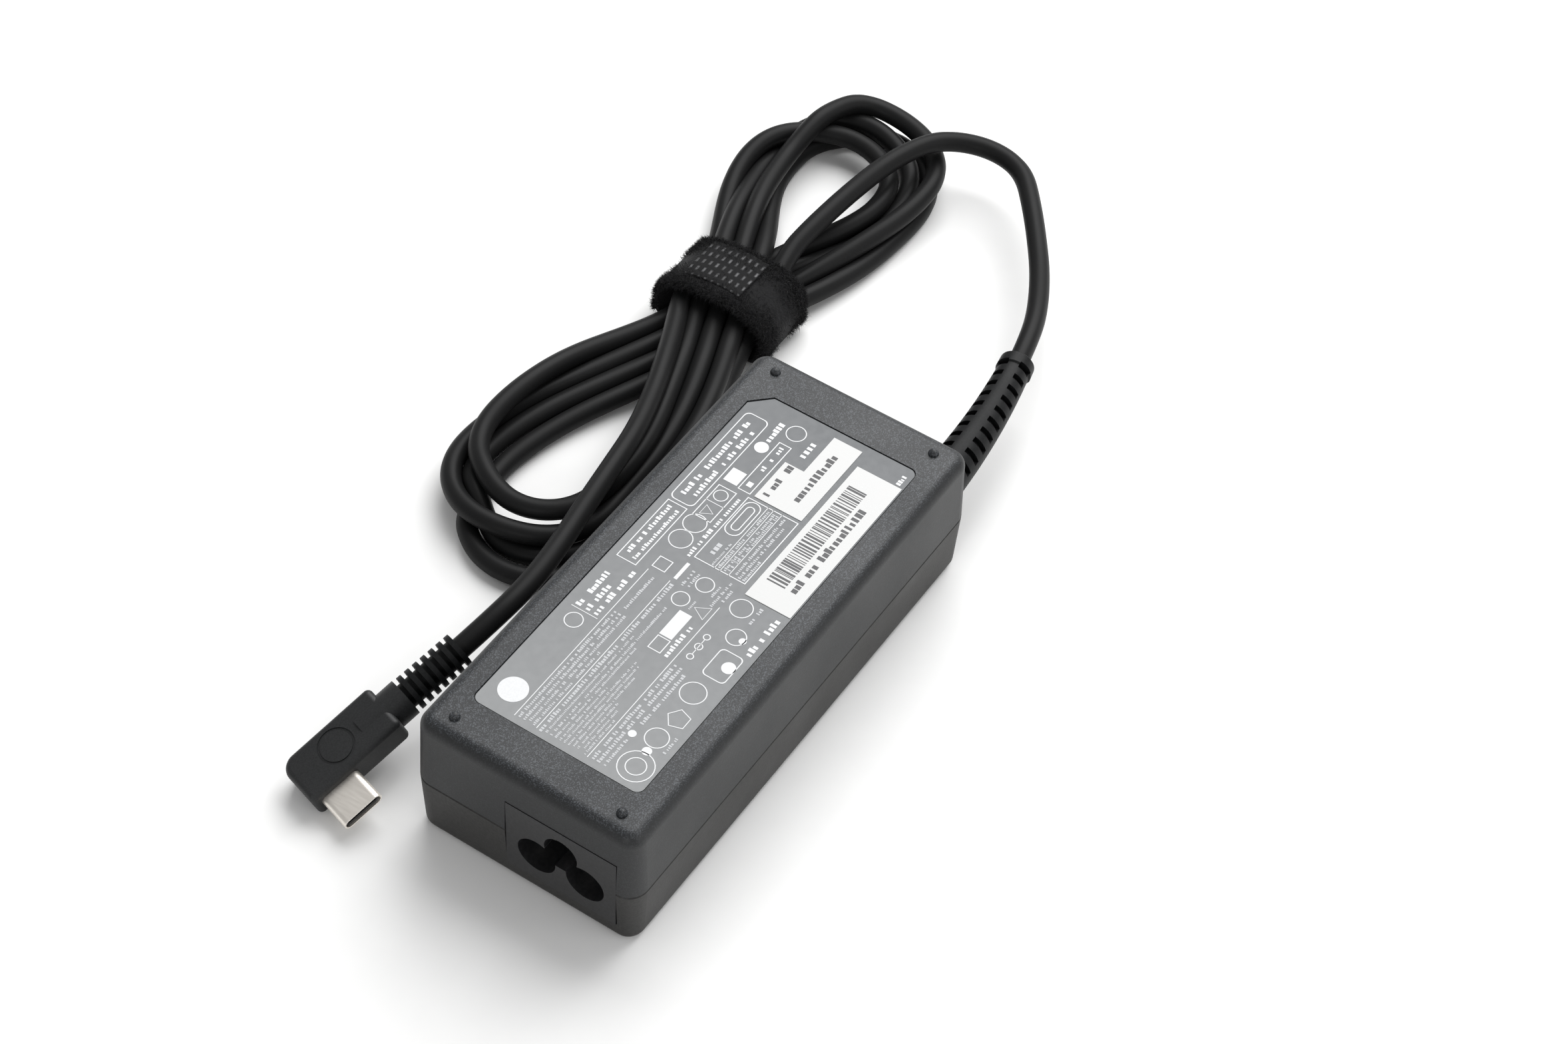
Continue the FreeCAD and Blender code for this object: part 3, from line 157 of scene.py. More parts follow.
# %% The socket class
class Value:
    """One output of a material's nodes; arithmetic on it adds Math nodes."""

    def __init__(self, tree, socket=None):
        self.tree = tree
        self.socket = socket

    def node(self, kind, settings=None, inputs=None, output=0):
        """Adds a node: its settings first, then the values or links of its sockets."""
        made = self.tree.nodes.new(kind)
        for name, setting in (settings or {}).items():
            if name == "stops":
                fill_ramp(made.color_ramp, setting)
            else:
                setattr(made, name, setting)
        for name, source in (inputs or {}).items():
            target = made.inputs[name]
            if isinstance(source, Value):
                self.tree.links.new(source.socket, target)
            else:
                target.default_value = source
        return Value(self.tree, made.outputs[output])

    def math(self, operation, *numbers):
        return self.node("ShaderNodeMath", {"operation": operation}, dict(enumerate(numbers)))

    def __add__(self, other):
        return self.math("ADD", self, other)

    def __radd__(self, other):
        return self.math("ADD", other, self)

    def __mul__(self, other):
        return self.math("MULTIPLY", self, other)

    def __rmul__(self, other):
        return self.math("MULTIPLY", other, self)


def fill_ramp(ramp, stops):
    """Sets a colour ramp's stops from (position, grey or colour) pairs."""
    while len(ramp.elements) > 1:
        ramp.elements.remove(ramp.elements[-1])
    for index, (position, colour) in enumerate(stops):
        element = ramp.elements[0] if index == 0 else ramp.elements.new(position)
        element.position = position
        element.color = rgba(colour)


def rgba(colour):
    """A grey or a colour as four numbers."""
    return (colour, colour, colour, 1) if isinstance(colour, (int, float)) else (*colour[:3], 1)


# %% Materials, sockets and coordinates
def new_finish(name):
    """A material with its shader, and the value that starts its expressions."""
    material = bpy.data.materials.new(name)
    material.use_nodes = True
    tree = material.node_tree
    shader = tree.nodes["Principled BSDF"]
    return material, shader, Value(tree)


def feed(shader, name, source):
    """Sets a shader socket to a number or colour, or links a value to it."""
    if isinstance(source, Value):
        source.tree.links.new(source.socket, shader.inputs[name])
    else:
        shader.inputs[name].default_value = source


def place_of(start, scale=(1, 1, 1)):
    """Object coordinates in metres, stretched by a scale on each axis."""
    where = start.node("ShaderNodeTexCoord", output="Object")
    return start.node("ShaderNodeMapping", inputs={"Vector": where, "Scale": scale})


def noise(start, size_mm, detail=2.0, stretch=(1, 1, 1)):
    """Smooth noise from 0 to 1 with features about size_mm across."""
    return start.node("ShaderNodeTexNoise", inputs={
        "Vector": place_of(start, stretch), "Scale": 1000.0 / size_mm, "Detail": detail,
        "Roughness": 0.5})


# %% Ramps, colour mixes and bumps
def ramp(value, *stops):
    """The value sent through a colour ramp."""
    return value.node("ShaderNodeValToRGB", {"stops": stops}, {"Fac": value})


def blend_colours(factor, first, second):
    """A mix of two colours by a factor from 0 to 1."""
    made = factor.tree.nodes.new("ShaderNodeMix")
    made.data_type = "RGBA"
    factor.tree.links.new(factor.socket, made.inputs["Factor"])
    for name, source in (("A", first), ("B", second)):
        target = next(socket for socket in made.inputs
                      if (socket.name, socket.type) == (name, "RGBA"))
        if isinstance(source, Value):
            factor.tree.links.new(source.socket, target)
        else:
            target.default_value = rgba(source)
    result = next(socket for socket in made.outputs if socket.type == "RGBA")
    return Value(factor.tree, result)


def bump(height, strength, depth_mm):
    """A Bump node fed by a height from 0 to 1 that stands for depth_mm."""
    return height.node("ShaderNodeBump", inputs={
        "Height": height, "Strength": strength, "Distance": depth_mm * MM})


# %% Painting frame nodes, and the floor's paper
def paint(material, *names):
    """Gives a finish to frame nodes by name."""
    print("finish:", material.name, "on", *names)
    for name in names:
        slots = nodes[name].data.materials
        if len(slots) == 0:
            slots.append(material)
        for index in range(len(slots)):
            slots[index] = material


floor_paper, shader, start = new_finish("floor_paper")
grain = noise(start, 6.0, 3.0)
feed(shader, "Base Color", blend_colours(grain, (0.90, 0.90, 0.895), (0.93, 0.93, 0.925)))
feed(shader, "Roughness", 0.7)
floor.data.materials.append(floor_paper)
print("finish:", floor_paper.name, "on floor")


# %% [markdown]
# ## Moulded plastics
# The top half of the case is charcoal plastic filled with pale specks, moulded against a fine
# texture on its flat top and polished smoother round the edges.  A picture of the plastic
# would blur close up, so the specks are noise stretched to hard dots a fifth of a millimetre
# across.  The height above the floor fades them out where the rounded edge starts.

# %% Moulded plastic helper
def moulded(name, dark, light, grain_mm, roughness, strength, depth_mm, shine=0.4):
    """A moulded plastic: a fine grain in colour and surface, and broad faint handling marks."""
    material, shader, start = new_finish(name)
    shader.inputs["Specular IOR Level"].default_value = shine
    grain = noise(start, grain_mm, 2.5)
    marks = noise(start, 16.0, 3.0)
    shade = ramp(grain * 0.75 + marks * 0.25, (0.34, 0.0), (0.66, 1.0))
    feed(shader, "Base Color", blend_colours(shade, dark, light))
    feed(shader, "Roughness", ramp(marks, (0.3, roughness - 0.05), (0.7, roughness + 0.06)))
    feed(shader, "Normal", bump(grain, strength, depth_mm))
    return material


def height_mm(start):
    """The height of each point above the floor."""
    where = start.node("ShaderNodeTexCoord", output="Object")
    return start.node("ShaderNodeSeparateXYZ", inputs={"Vector": where}, output="Z") * 1000.0


def soft_step(value, low, high):
    """0 below low, 1 above high and a straight run between."""
    return value.node("ShaderNodeMapRange", inputs={"Value": value, "From Min": low, "From Max": high})


# %% Speckled top half
case_plastic, shader, start = new_finish("case_plastic")
on_top = soft_step(height_mm(start), 28.6, 29.3)
fine, coarse = noise(start, 0.22, 1.0), noise(start, 0.55, 2.0)
specks = soft_step(fine * 0.75 + coarse * 0.25, 0.50, 0.62)
cloud = noise(start, 20.0, 3.0)
body_grey = blend_colours(soft_step(cloud, 0.3, 0.7), (0.012, 0.0127, 0.0133), (0.0165, 0.0173, 0.0183))
top_grey = blend_colours(specks, (0.014, 0.0155, 0.0175), (0.070, 0.076, 0.084))
side_grey = blend_colours(specks, body_grey, (0.024, 0.0255, 0.0275))
feed(shader, "Base Color", blend_colours(on_top, side_grey, top_grey))
feed(shader, "Roughness", ramp(cloud, (0.3, 0.44), (0.7, 0.54)))
feed(shader, "Normal", bump(fine * 0.6 + coarse * 0.4, 0.55, 0.05))
shader.inputs["Specular IOR Level"].default_value = 0.4
paint(case_plastic, "top_shell")

# %% Plainer lower half, reliefs and plug
lower_case_plastic = moulded("lower_case_plastic", (0.014, 0.0136, 0.013), (0.027, 0.026, 0.0245),
                             0.45, 0.52, 0.5, 0.05)
relief_rubber = moulded("relief_rubber", (0.0045, 0.005, 0.0055), (0.009, 0.0095, 0.010),
                        0.5, 0.50, 0.30, 0.03, 0.18)
plug_plastic = moulded("plug_plastic", (0.011, 0.0115, 0.012), (0.020, 0.021, 0.022),
                       0.28, 0.47, 0.35, 0.03, 0.35)
inlet_plastic = moulded("inlet_plastic", (0.010, 0.010, 0.011), (0.020, 0.020, 0.021),
                        0.6, 0.38, 0.25, 0.03)
paint(lower_case_plastic, "bottom_shell")
paint(relief_rubber, "output_strain_relief", "plug_strain_relief")
paint(plug_plastic, "plug_overmold")
paint(inlet_plastic, "ac_inlet_body")


# %% [markdown]
# ## Label film and sticker paper
# The rating label is a grey polyester film with a satin back-printed face.  It scatters the
# light in a faint orange peel, so its bump is broad and shallow.  Its colour is painted lighter
# at its -x end and darker towards its +x end, a painted falloff of its sheen, with faint random
# wisps of real tone.  The stickers are white coated paper: their fibres show only as a very slight mottle.

# %% Film and paper
label_film, shader, start = new_finish("label_film")
peel, wisps = noise(start, 1.1, 2.0), noise(start, 26.0, 2.0)
label_low, label_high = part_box("rating_label")
where = start.node("ShaderNodeTexCoord", output="Object")
across_x = start.node("ShaderNodeSeparateXYZ", inputs={"Vector": where}, output="X")
# Painted light: the film's colour runs from light at its -x end to dark at its +x end, a painted falloff of
# the sheen, not a change in the film.
painted_light_falloff = soft_step(across_x, label_high[0], label_low[0])
wisps_and_painted_falloff = soft_step(painted_light_falloff + wisps * 0.1, 0.0, 1.1)
feed(shader, "Base Color", blend_colours(wisps_and_painted_falloff, (0.078, 0.085, 0.092), (0.215, 0.222, 0.226)))
feed(shader, "Roughness", ramp(peel, (0.3, 0.34), (0.7, 0.42)))
feed(shader, "Normal", bump(peel, 0.12, 0.03))
paint(label_film, "rating_label")

sticker_paper, shader, start = new_finish("sticker_paper")
fibres = noise(start, 0.5, 4.0, stretch=(1, 0.35, 1))
feed(shader, "Base Color", blend_colours(fibres, (0.60, 0.605, 0.60), (0.68, 0.68, 0.675)))
feed(shader, "Roughness", ramp(fibres, (0.3, 0.40), (0.7, 0.52)))
feed(shader, "Normal", bump(fibres, 0.10, 0.02))
paint(sticker_paper, "barcode_sticker", "revision_sticker")


# %% [markdown]
# ## Metals
# The inlet's pins and the plug's shell are nickel-plated.  The shell is drawn from sheet, so
# it carries faint streaks along its depth: noise that is stretched a long way in one
# direction.  Screws, heatsinks and the shield are darker metals with the same streaks.

# %% Streaked metal helper
def streaked_metal(name, dark, light, roughness, stretch, streak_mm=0.35, strength=0.12):
    """A metal whose colour, gloss and surface run in streaks along one axis."""
    material, shader, start = new_finish(name)
    streaks = noise(start, streak_mm, 3.0, stretch=stretch)
    stains = noise(start, 5.0, 3.0)
    feed(shader, "Base Color", blend_colours(streaks * 0.6 + stains * 0.4, dark, light))
    feed(shader, "Metallic", 1.0)
    feed(shader, "Roughness", ramp(stains * 0.5 + streaks * 0.5, (0.3, roughness - 0.06),
                                   (0.7, roughness + 0.08)))
    feed(shader, "Normal", bump(streaks, strength, 0.01))
    return material


pin_metal = streaked_metal("pin_metal", (0.86, 0.85, 0.82), (0.97, 0.96, 0.94), 0.40, (0.05, 1, 1))
shell_steel = streaked_metal("shell_steel", (0.86, 0.81, 0.74), (0.98, 0.94, 0.88), 0.42,
                             (1, 0.06, 1))
sink_metal = streaked_metal("sink_metal", (0.50, 0.51, 0.52), (0.68, 0.69, 0.70), 0.36, (0.05, 1, 1))
screw_steel = streaked_metal("screw_steel", (0.30, 0.30, 0.31), (0.50, 0.50, 0.50), 0.32, (1, 0.2, 1))
shield_metal = streaked_metal("shield_metal", (0.44, 0.42, 0.38), (0.64, 0.62, 0.57), 0.34, (0.04, 1, 1))
gold_contact = streaked_metal("gold_contact", (0.60, 0.42, 0.16), (0.82, 0.62, 0.28), 0.22, (1, 0.1, 1))
copper_wire = streaked_metal("copper_wire", (0.50, 0.17, 0.07), (0.76, 0.34, 0.16), 0.30, (1, 0.08, 1))
paint(pin_metal, "inlet_pin_line", "inlet_pin_neutral", "inlet_pin_earth")
paint(shell_steel, "usb_shell")
paint(sink_metal, "primary_heatsink", "secondary_heatsink")
paint(screw_steel, "heatsink_screws")
paint(shield_metal, "emi_shield")
paint(gold_contact, "usb_contacts")
paint(copper_wire, "choke_windings")


# %% [markdown]
# ## The electronics inside
# These pieces show only when the case is opened, yet each has the look of the real part: a
# laminate with a woven glass core and darker copper tracks under its green lacquer, ferrite
# that is matt and slightly pitted, capacitor sleeves that shrink into fine wrinkles, and
# polyester tape wound in layers round the transformer.

# %% Circuit board laminate with its tracks
def bands(start, axis, pitch_mm):
    """Straight bands across one axis: 0.5 + 0.5 sin(2 pi position / pitch)."""
    where = start.node("ShaderNodeTexCoord", output="Object")
    position = start.node("ShaderNodeSeparateXYZ", inputs={"Vector": where}, output=axis)
    phase = position * (2 * math.pi / (pitch_mm * MM))
    return phase.math("SINE", phase) * 0.5 + 0.5


board_laminate, shader, start = new_finish("board_laminate")
weave = bands(start, "X", 0.6) * bands(start, "Y", 0.6)
tracks = soft_step(start.node("ShaderNodeTexVoronoi", {"feature": "DISTANCE_TO_EDGE"}, {
    "Vector": place_of(start), "Scale": 170.0}, output="Distance"), 0.06, 0.09)
lacquer = blend_colours(weave, (0.012, 0.085, 0.040), (0.020, 0.115, 0.055))
feed(shader, "Base Color", blend_colours(tracks, (0.035, 0.19, 0.085), lacquer))
feed(shader, "Roughness", ramp(tracks, (0.0, 0.26), (1.0, 0.36)))
feed(shader, "Normal", bump(tracks * 0.7 + weave * 0.3, 0.3, 0.03))
paint(board_laminate, "circuit_board", "output_protocol_board", "plug_circuit_board")

# %% Chips, cores, sleeves and films
dark_component = moulded("dark_component", (0.012, 0.012, 0.013), (0.026, 0.026, 0.028),
                         0.3, 0.45, 0.4, 0.03)
yellow_component = moulded("yellow_component", (0.62, 0.42, 0.05), (0.78, 0.56, 0.10),
                           0.5, 0.34, 0.2, 0.03)
ferrite = moulded("ferrite", (0.022, 0.021, 0.021), (0.060, 0.058, 0.056), 0.35, 0.60, 0.7, 0.06)
blue_component = moulded("blue_component", (0.02, 0.10, 0.30), (0.04, 0.17, 0.42),
                         0.5, 0.36, 0.3, 0.04)
insulation_film = moulded("insulation_film", (0.030, 0.031, 0.033), (0.050, 0.051, 0.054),
                          0.9, 0.30, 0.2, 0.03)
red_wire = moulded("red_wire", (0.36, 0.012, 0.010), (0.50, 0.025, 0.018), 0.7, 0.36, 0.2, 0.03)
black_wire = moulded("black_wire", (0.008, 0.008, 0.009), (0.020, 0.020, 0.021), 0.7, 0.38, 0.2, 0.03)
paint(dark_component, "power_transistor", "output_rectifier", "bridge_rectifier", "controller_chip",
      "optocoupler", "surface_mount_parts", "inrush_thermistor", "usb_insulator")
paint(yellow_component, "x_capacitor", "transformer_bobbin")
paint(ferrite, "choke_core", "transformer_core", "output_inductor")
paint(blue_component, "y_capacitor")
paint(insulation_film, "insulation_sheet")
paint(red_wire, "output_wire_positive")
paint(black_wire, "output_wire_negative")

# %% Tape, sleeves and the fuse
winding_tape, shader, start = new_finish("winding_tape")
layers = bands(start, "Z", 2.4)
creases = noise(start, 2.5, 3.0, stretch=(1, 1, 0.4))
tape_shade = layers * 0.4 + creases * 0.6
feed(shader, "Base Color", blend_colours(tape_shade, (0.56, 0.36, 0.03), (0.80, 0.58, 0.10)))
feed(shader, "Roughness", ramp(creases, (0.3, 0.22), (0.7, 0.36)))
feed(shader, "Normal", bump(layers * 0.5 + creases * 0.5, 0.3, 0.06))
paint(winding_tape, "transformer_winding")

can_sleeve, shader, start = new_finish("can_sleeve")
wrinkles = noise(start, 1.6, 3.0, stretch=(0.3, 1, 1))
feed(shader, "Base Color", blend_colours(wrinkles, (0.010, 0.016, 0.040), (0.024, 0.034, 0.075)))
feed(shader, "Roughness", ramp(wrinkles, (0.3, 0.24), (0.7, 0.36)))
feed(shader, "Normal", bump(wrinkles, 0.25, 0.05))
paint(can_sleeve, "bulk_capacitor", "output_capacitors")

fuse_glass, shader, start = new_finish("fuse_glass")
cap_ends = soft_step(noise(start, 3.0, 1.0), 0.45, 0.5)
feed(shader, "Base Color", blend_colours(cap_ends, (0.62, 0.64, 0.62), (0.74, 0.75, 0.73)))
feed(shader, "Roughness", ramp(cap_ends, (0.0, 0.12), (1.0, 0.22)))
feed(shader, "Metallic", ramp(cap_ends, (0.0, 0.35), (1.0, 0.8)))
paint(fuse_glass, "fuse")
unpainted = [name for name, node in nodes.items() if not node.data.materials]
print("frame nodes still without a finish:", unpainted)


# %% [markdown]
# ## The printing on the label and the stickers
# The real label carries rules, boxes, round marks and lines of fine type.  Here all of it is
# made generic: the type becomes rows of small blocks and the marks become plain shapes.  The
# ink is real geometry, a hair above the film, so its edges stay sharp at any distance.
# Every shape is a convex outline filled as a fan round its middle, and shapes with the same
# number of corners are worked out together as one array.

# %% Flat shapes
def box_shape(x0, x1, y0, y1):
    """The four corners of a rectangle."""
    return np.array([(x0, y0), (x1, y0), (x1, y1), (x0, y1)], float)


def disc_shape(x, y, radius, corners=28, begin=0.0):
    """Corners evenly spaced on a circle: (x + r cos a, y + r sin a)."""
    angle = begin + np.arange(corners) * 2 * math.pi / corners
    return np.stack([x + radius * np.cos(angle), y + radius * np.sin(angle)], axis=1)


def round_box_shape(x0, x1, y0, y1, radius, steps=5):
    """A rectangle whose corners are quarter circles."""
    angle = np.linspace(0, math.pi / 2, steps)
    centres = ((x1 - radius, y1 - radius), (x0 + radius, y1 - radius),
               (x0 + radius, y0 + radius), (x1 - radius, y0 + radius))
    arcs = [np.stack([cx + radius * np.cos(angle + turn * math.pi / 2),
                      cy + radius * np.sin(angle + turn * math.pi / 2)], axis=1)
            for turn, (cx, cy) in enumerate(centres)]
    return np.concatenate(arcs)


def outline_of(shape, width):
    """A shape's outline as thin quads between it and a copy drawn in towards its middle."""
    middle = shape.mean(axis=0)
    reach = np.abs(shape - middle).max(axis=0)
    inner = middle + (shape - middle) * (1 - width / reach)
    return list(np.stack([shape, np.roll(shape, -1, 0), np.roll(inner, -1, 0), inner], axis=1))


# %% Rows of blocks
def type_row(x0, x1, y, height, seed):
    """A row of small blocks in groups, in the place of a line of type."""
    rng = np.random.default_rng(seed)
    cell = 0.74 * height
    left = np.arange(x0, x1 - cell, cell)
    blank = rng.random(len(left)) < 0.16
    tall = np.where(rng.random(len(left)) < 0.35, 1.0, 0.72) * height
    wide = rng.uniform(0.5, 0.85, len(left)) * cell
    left, tall, wide = left[~blank], tall[~blank], wide[~blank]
    low = np.full(len(left), y - height / 2)
    return list(np.stack([np.stack([left, low], 1), np.stack([left + wide, low], 1),
                          np.stack([left + wide, low + tall], 1), np.stack([left, low + tall], 1)],
                         axis=1))


# %% One mesh for many flat shapes
INK_LIFT = 0.03 * MM


def printed(name, shapes, surface, material):
    """One mesh for many flat shapes, all facing up, a hair above a surface's height."""
    points, faces, first = [], [], 0
    for corners in sorted({len(shape) for shape in shapes}):
        same = np.stack([shape for shape in shapes if len(shape) == corners])
        middle = same.mean(axis=1, keepdims=True)
        ring = np.concatenate([same, middle], axis=1)
        start = first + np.arange(len(same))[:, None] * (corners + 1)
        index = np.arange(corners)[None, :]
        fan = np.stack([start + index, start + (index + 1) % corners,
                        np.broadcast_to(start + corners, (len(same), corners))], axis=2)
        points.append(ring.reshape(-1, 2))
        faces.append(fan.reshape(-1, 3))
        first += len(same) * (corners + 1)
    flat = np.concatenate(points) * MM
    faces = np.concatenate(faces)
    a, b, c = (flat[faces[:, corner]] for corner in range(3))
    area = (b[:, 0] - a[:, 0]) * (c[:, 1] - a[:, 1]) - (b[:, 1] - a[:, 1]) * (c[:, 0] - a[:, 0])
    faces[area < 0] = faces[area < 0][:, ::-1]
    height = surface + INK_LIFT
    piece = new_mesh(name, np.c_[flat, np.full(len(flat), height)], faces, smooth=False)
    piece.data.materials.append(material)
    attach(piece, "root")
    print(name, "faces:", len(piece.data.polygons))


# %% Inks
def ink(name, dark, light, roughness):
    """A printed ink: nearly even, thinner in places so that a little of the film shows."""
    material, shader, start = new_finish(name)
    wear = noise(start, 0.35, 2.0)
    feed(shader, "Base Color", blend_colours(wear, dark, light))
    feed(shader, "Roughness", ramp(wear, (0.3, roughness), (0.7, roughness + 0.08)))
    print("ink:", name)
    return material


pale_ink = ink("pale_ink", (0.62, 0.63, 0.64), (0.78, 0.79, 0.80), 0.40)
fine_ink = ink("fine_ink", (0.44, 0.45, 0.465), (0.56, 0.57, 0.585), 0.42)
black_ink = ink("black_ink", (0.035, 0.035, 0.038), (0.09, 0.09, 0.095), 0.45)

# %% Marks and boxes in pale ink
RULE = 0.16
marks = [disc_shape(-38.2, 12.7, 2.7, 48), box_shape(-17.65, -17.5, 10.0, 15.5),
         box_shape(-2.5, 1.8, 3.9, 4.6), box_shape(-14.0, -7.7, -3.0, -0.4),
         disc_shape(31.8, 9.0, 1.35), disc_shape(-34.2, -9.0, 0.75),
         box_shape(21.5, 24.9, 7.5, 10.4), disc_shape(-13.4, -14.4, 1.3)]
marks += [box_shape(-42.5, -3.3, y - RULE / 2, y + RULE / 2) for y in (9.3, 4.7, -5.7)]
marks += [disc_shape(x, -13.1, radius) for x, radius in ((-35.8, 0.9), (-7.2, 0.7))]
rings = [disc_shape(-20.1, 13.2, 1.75), disc_shape(-0.6, -0.8, 1.75), disc_shape(-5.6, 0.9, 1.7),
         disc_shape(-1.3, -8.9, 2.15), disc_shape(-7.1, -11.7, 1.9), disc_shape(-21.3, -12.5, 2.45),
         disc_shape(-32.6, -12.9, 2.2), disc_shape(-39.4, -13.4, 3.3), disc_shape(-39.4, -13.4, 1.9),
         disc_shape(38.2, 5.7, 1.95), disc_shape(5.6, 8.6, 2.25), disc_shape(10.0, 8.6, 2.25),
         disc_shape(18.0, 8.5, 1.4), disc_shape(-15.1, -7.6, 0.7), disc_shape(-12.5, -7.6, 0.8),
         disc_shape(-10.0, -7.6, 0.7), round_box_shape(11.3, 20.2, 0.6, 4.0, 1.6),
         round_box_shape(12.6, 19.0, 1.4, 3.2, 0.85), round_box_shape(12.6, 37.7, 11.0, 16.0, 1.1),
         round_box_shape(-17.0, -10.3, -15.7, -11.0, 0.9), disc_shape(-5.8, -3.9, 1.85, 3, math.pi / 2),
         disc_shape(-27.3, -13.6, 2.2, 5, math.pi / 2), disc_shape(13.6, 8.6, 1.5, 3, -math.pi / 2),
         box_shape(-4.0, 12.0, 11.5, 15.7), box_shape(11.6, 20.1, 6.4, 10.3),
         box_shape(21.2, 34.8, 4.4, 7.1), box_shape(3.5, 20.6, -6.4, 4.4),
         box_shape(-17.6, -14.3, -3.1, -0.4), disc_shape(-1.0, 7.9, 2.0, 4, 0.785)]
LINE = 0.2
for shape in rings:
    marks += outline_of(shape, LINE)
marks += [box_shape(3.5, 20.6, y - 0.07, y + 0.07) for y in (0.05, -1.1, -2.9)]
marks += [box_shape(6.6, 6.75, -2.9, 0.05), box_shape(15.8, 15.95, 6.4, 10.3),
          box_shape(-14.4, -10.7, -7.68, -7.52), box_shape(22.6, 23.8, 5.2, 6.3)]
film_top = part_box("rating_label")[1][2]
printed("label_marks", marks, film_top, pale_ink)

# %% Lines of type on the film, as rows of blocks
bold_rows = [(-17.0, -6.9, 14.6, 1.15), (-17.0, -10.0, 12.7, 1.15), (-17.0, -4.6, 11.0, 1.15),
             (-2.9, 11.4, 14.5, 0.95), (-2.9, 11.2, 12.7, 0.8), (14.5, 36.0, 14.3, 1.1),
             (15.3, 34.8, 12.4, 1.1), (33.6, 39.9, 9.0, 1.2), (34.0, 38.8, 1.9, 1.5),
             (-17.6, -7.7, -4.1, 1.0), (-9.3, 1.2, -15.5, 1.3), (26.4, 34.2, 5.9, 0.95),
             (38.5, 41.2, -15.8, 0.9), (3.1, 20.3, 5.4, 0.85)]
fine_rows = [(-42.3, -14.0, 8.5, 0.62), (-42.3, -3.4, 7.5, 0.62), (-42.3, -14.2, 6.5, 0.55),
             (-42.3, -23.0, 5.5, 0.55), (-42.7, -3.2, 3.95, 0.8), (-42.3, -16.6, 2.85, 0.45),
             (-42.3, -8.3, 1.85, 0.5), (-42.3, -18.8, 0.95, 0.45), (-42.3, -28.6, 0.05, 0.45),
             (-42.3, -20.6, -0.8, 0.45), (-42.3, -21.9, -1.65, 0.45), (-42.3, -23.8, -2.5, 0.45),
             (-42.3, -30.2, -3.35, 0.45), (-42.3, -31.5, -4.2, 0.45), (-42.3, -33.5, -5.0, 0.45),
             (-42.3, -17.8, -6.6, 0.75), (-42.3, -17.4, -7.75, 0.75), (-42.3, -35.3, -9.0, 0.6),
             (-31.7, -18.6, -9.1, 0.75), (-3.0, 1.0, 2.5, 0.6), (-2.6, 1.3, 1.4, 0.6),
             (-2.2, 1.0, -3.2, 0.55), (-4.0, 2.8, -4.3, 0.55), (-2.0, 1.2, -5.4, 0.6),
             (4.0, 20.2, -0.5, 0.6),
             (4.0, 20.2, -1.7, 0.6), (4.0, 20.2, -2.4, 0.6), (4.0, 20.2, -3.8, 0.6), (4.0, 18.6, -4.8, 0.6),
             (4.0, 9.6, -5.7, 0.6), (-34.6, -30.6, -15.7, 0.6), (-3.4, 0.8, -11.9, 0.7),
             (5.0, 9.8, 2.4, 1.3), (-6.7, -4.4, -1.5, 0.5), (3.8, 10.4, 0.75, 0.45)]
bold, fine = [], []
for seed, row in enumerate(bold_rows):
    bold += type_row(*row, seed)
for seed, row in enumerate(fine_rows):
    fine += type_row(*row, 100 + seed)
printed("label_bold_type", bold, film_top, pale_ink)
printed("label_fine_type", fine, film_top, fine_ink)

# %% Bars and blocks on the stickers
rng = np.random.default_rng(7)
edges = 6.2 + np.cumsum(rng.choice([0.17, 0.34, 0.51], 100) * 0.9)
edges = edges[: 2 * (np.count_nonzero(edges < 34.0) // 2)].reshape(-1, 2)
bars = [box_shape(begin, end, -12.6, -8.8) for begin, end in edges]
bars += type_row(6.7, 30.4, -14.1, 1.5, 21)
paper_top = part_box("barcode_sticker")[1][2]
printed("barcode_bars", bars, paper_top, black_ink)
note = type_row(22.6, 31.4, 2.0, 1.3, 31) + type_row(24.6, 38.8, -3.0, 1.5, 32)
note_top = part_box("revision_sticker")[1][2]
printed("revision_print", note, note_top, black_ink)


# %% [markdown]
# ## The fabric tie
# A band of soft loop fabric is wrapped round the bundle, and its end carries a woven patch
# that shows as a grid of shiny dashes; their glint is painted into the colour as lighter dashes.
# The band is one closed surface: a rounded arch in cross-section, carried along the bundle,
# with a hem at each edge.  Its nap is thousands of short fibres, each only three triangles, that
# lean away from the surface at random.

# %% The band's surface
TIE_LOW, TIE_HIGH = (np.array(corner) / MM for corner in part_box("cable_tie_strap"))
TIE_MIDDLE = (TIE_LOW + TIE_HIGH) / 2
HALF_BAND = (TIE_HIGH[0] - TIE_LOW[0]) / 2


def arch(angle, grow=0.0):
    """The band's outer line: a superellipse, y = a |cos|^(2/n) and z = b |sin|^(2/n), whose
    power n is 2.2 over the top and 4 underneath, where the band lies flat on the floor."""
    cosine, sine = np.cos(angle), np.sin(angle)
    power = np.where(sine > 0, 2.0 / 2.2, 2.0 / 4.0)
    half_width = (TIE_HIGH[1] - TIE_LOW[1]) / 2 + grow
    half_height = np.where(sine > 0, 7.3, 5.5) + grow
    y = TIE_MIDDLE[1] + half_width * np.sign(cosine) * np.abs(cosine) ** power
    z = 5.75 + half_height * np.sign(sine) * np.abs(sine) ** power
    return y, z


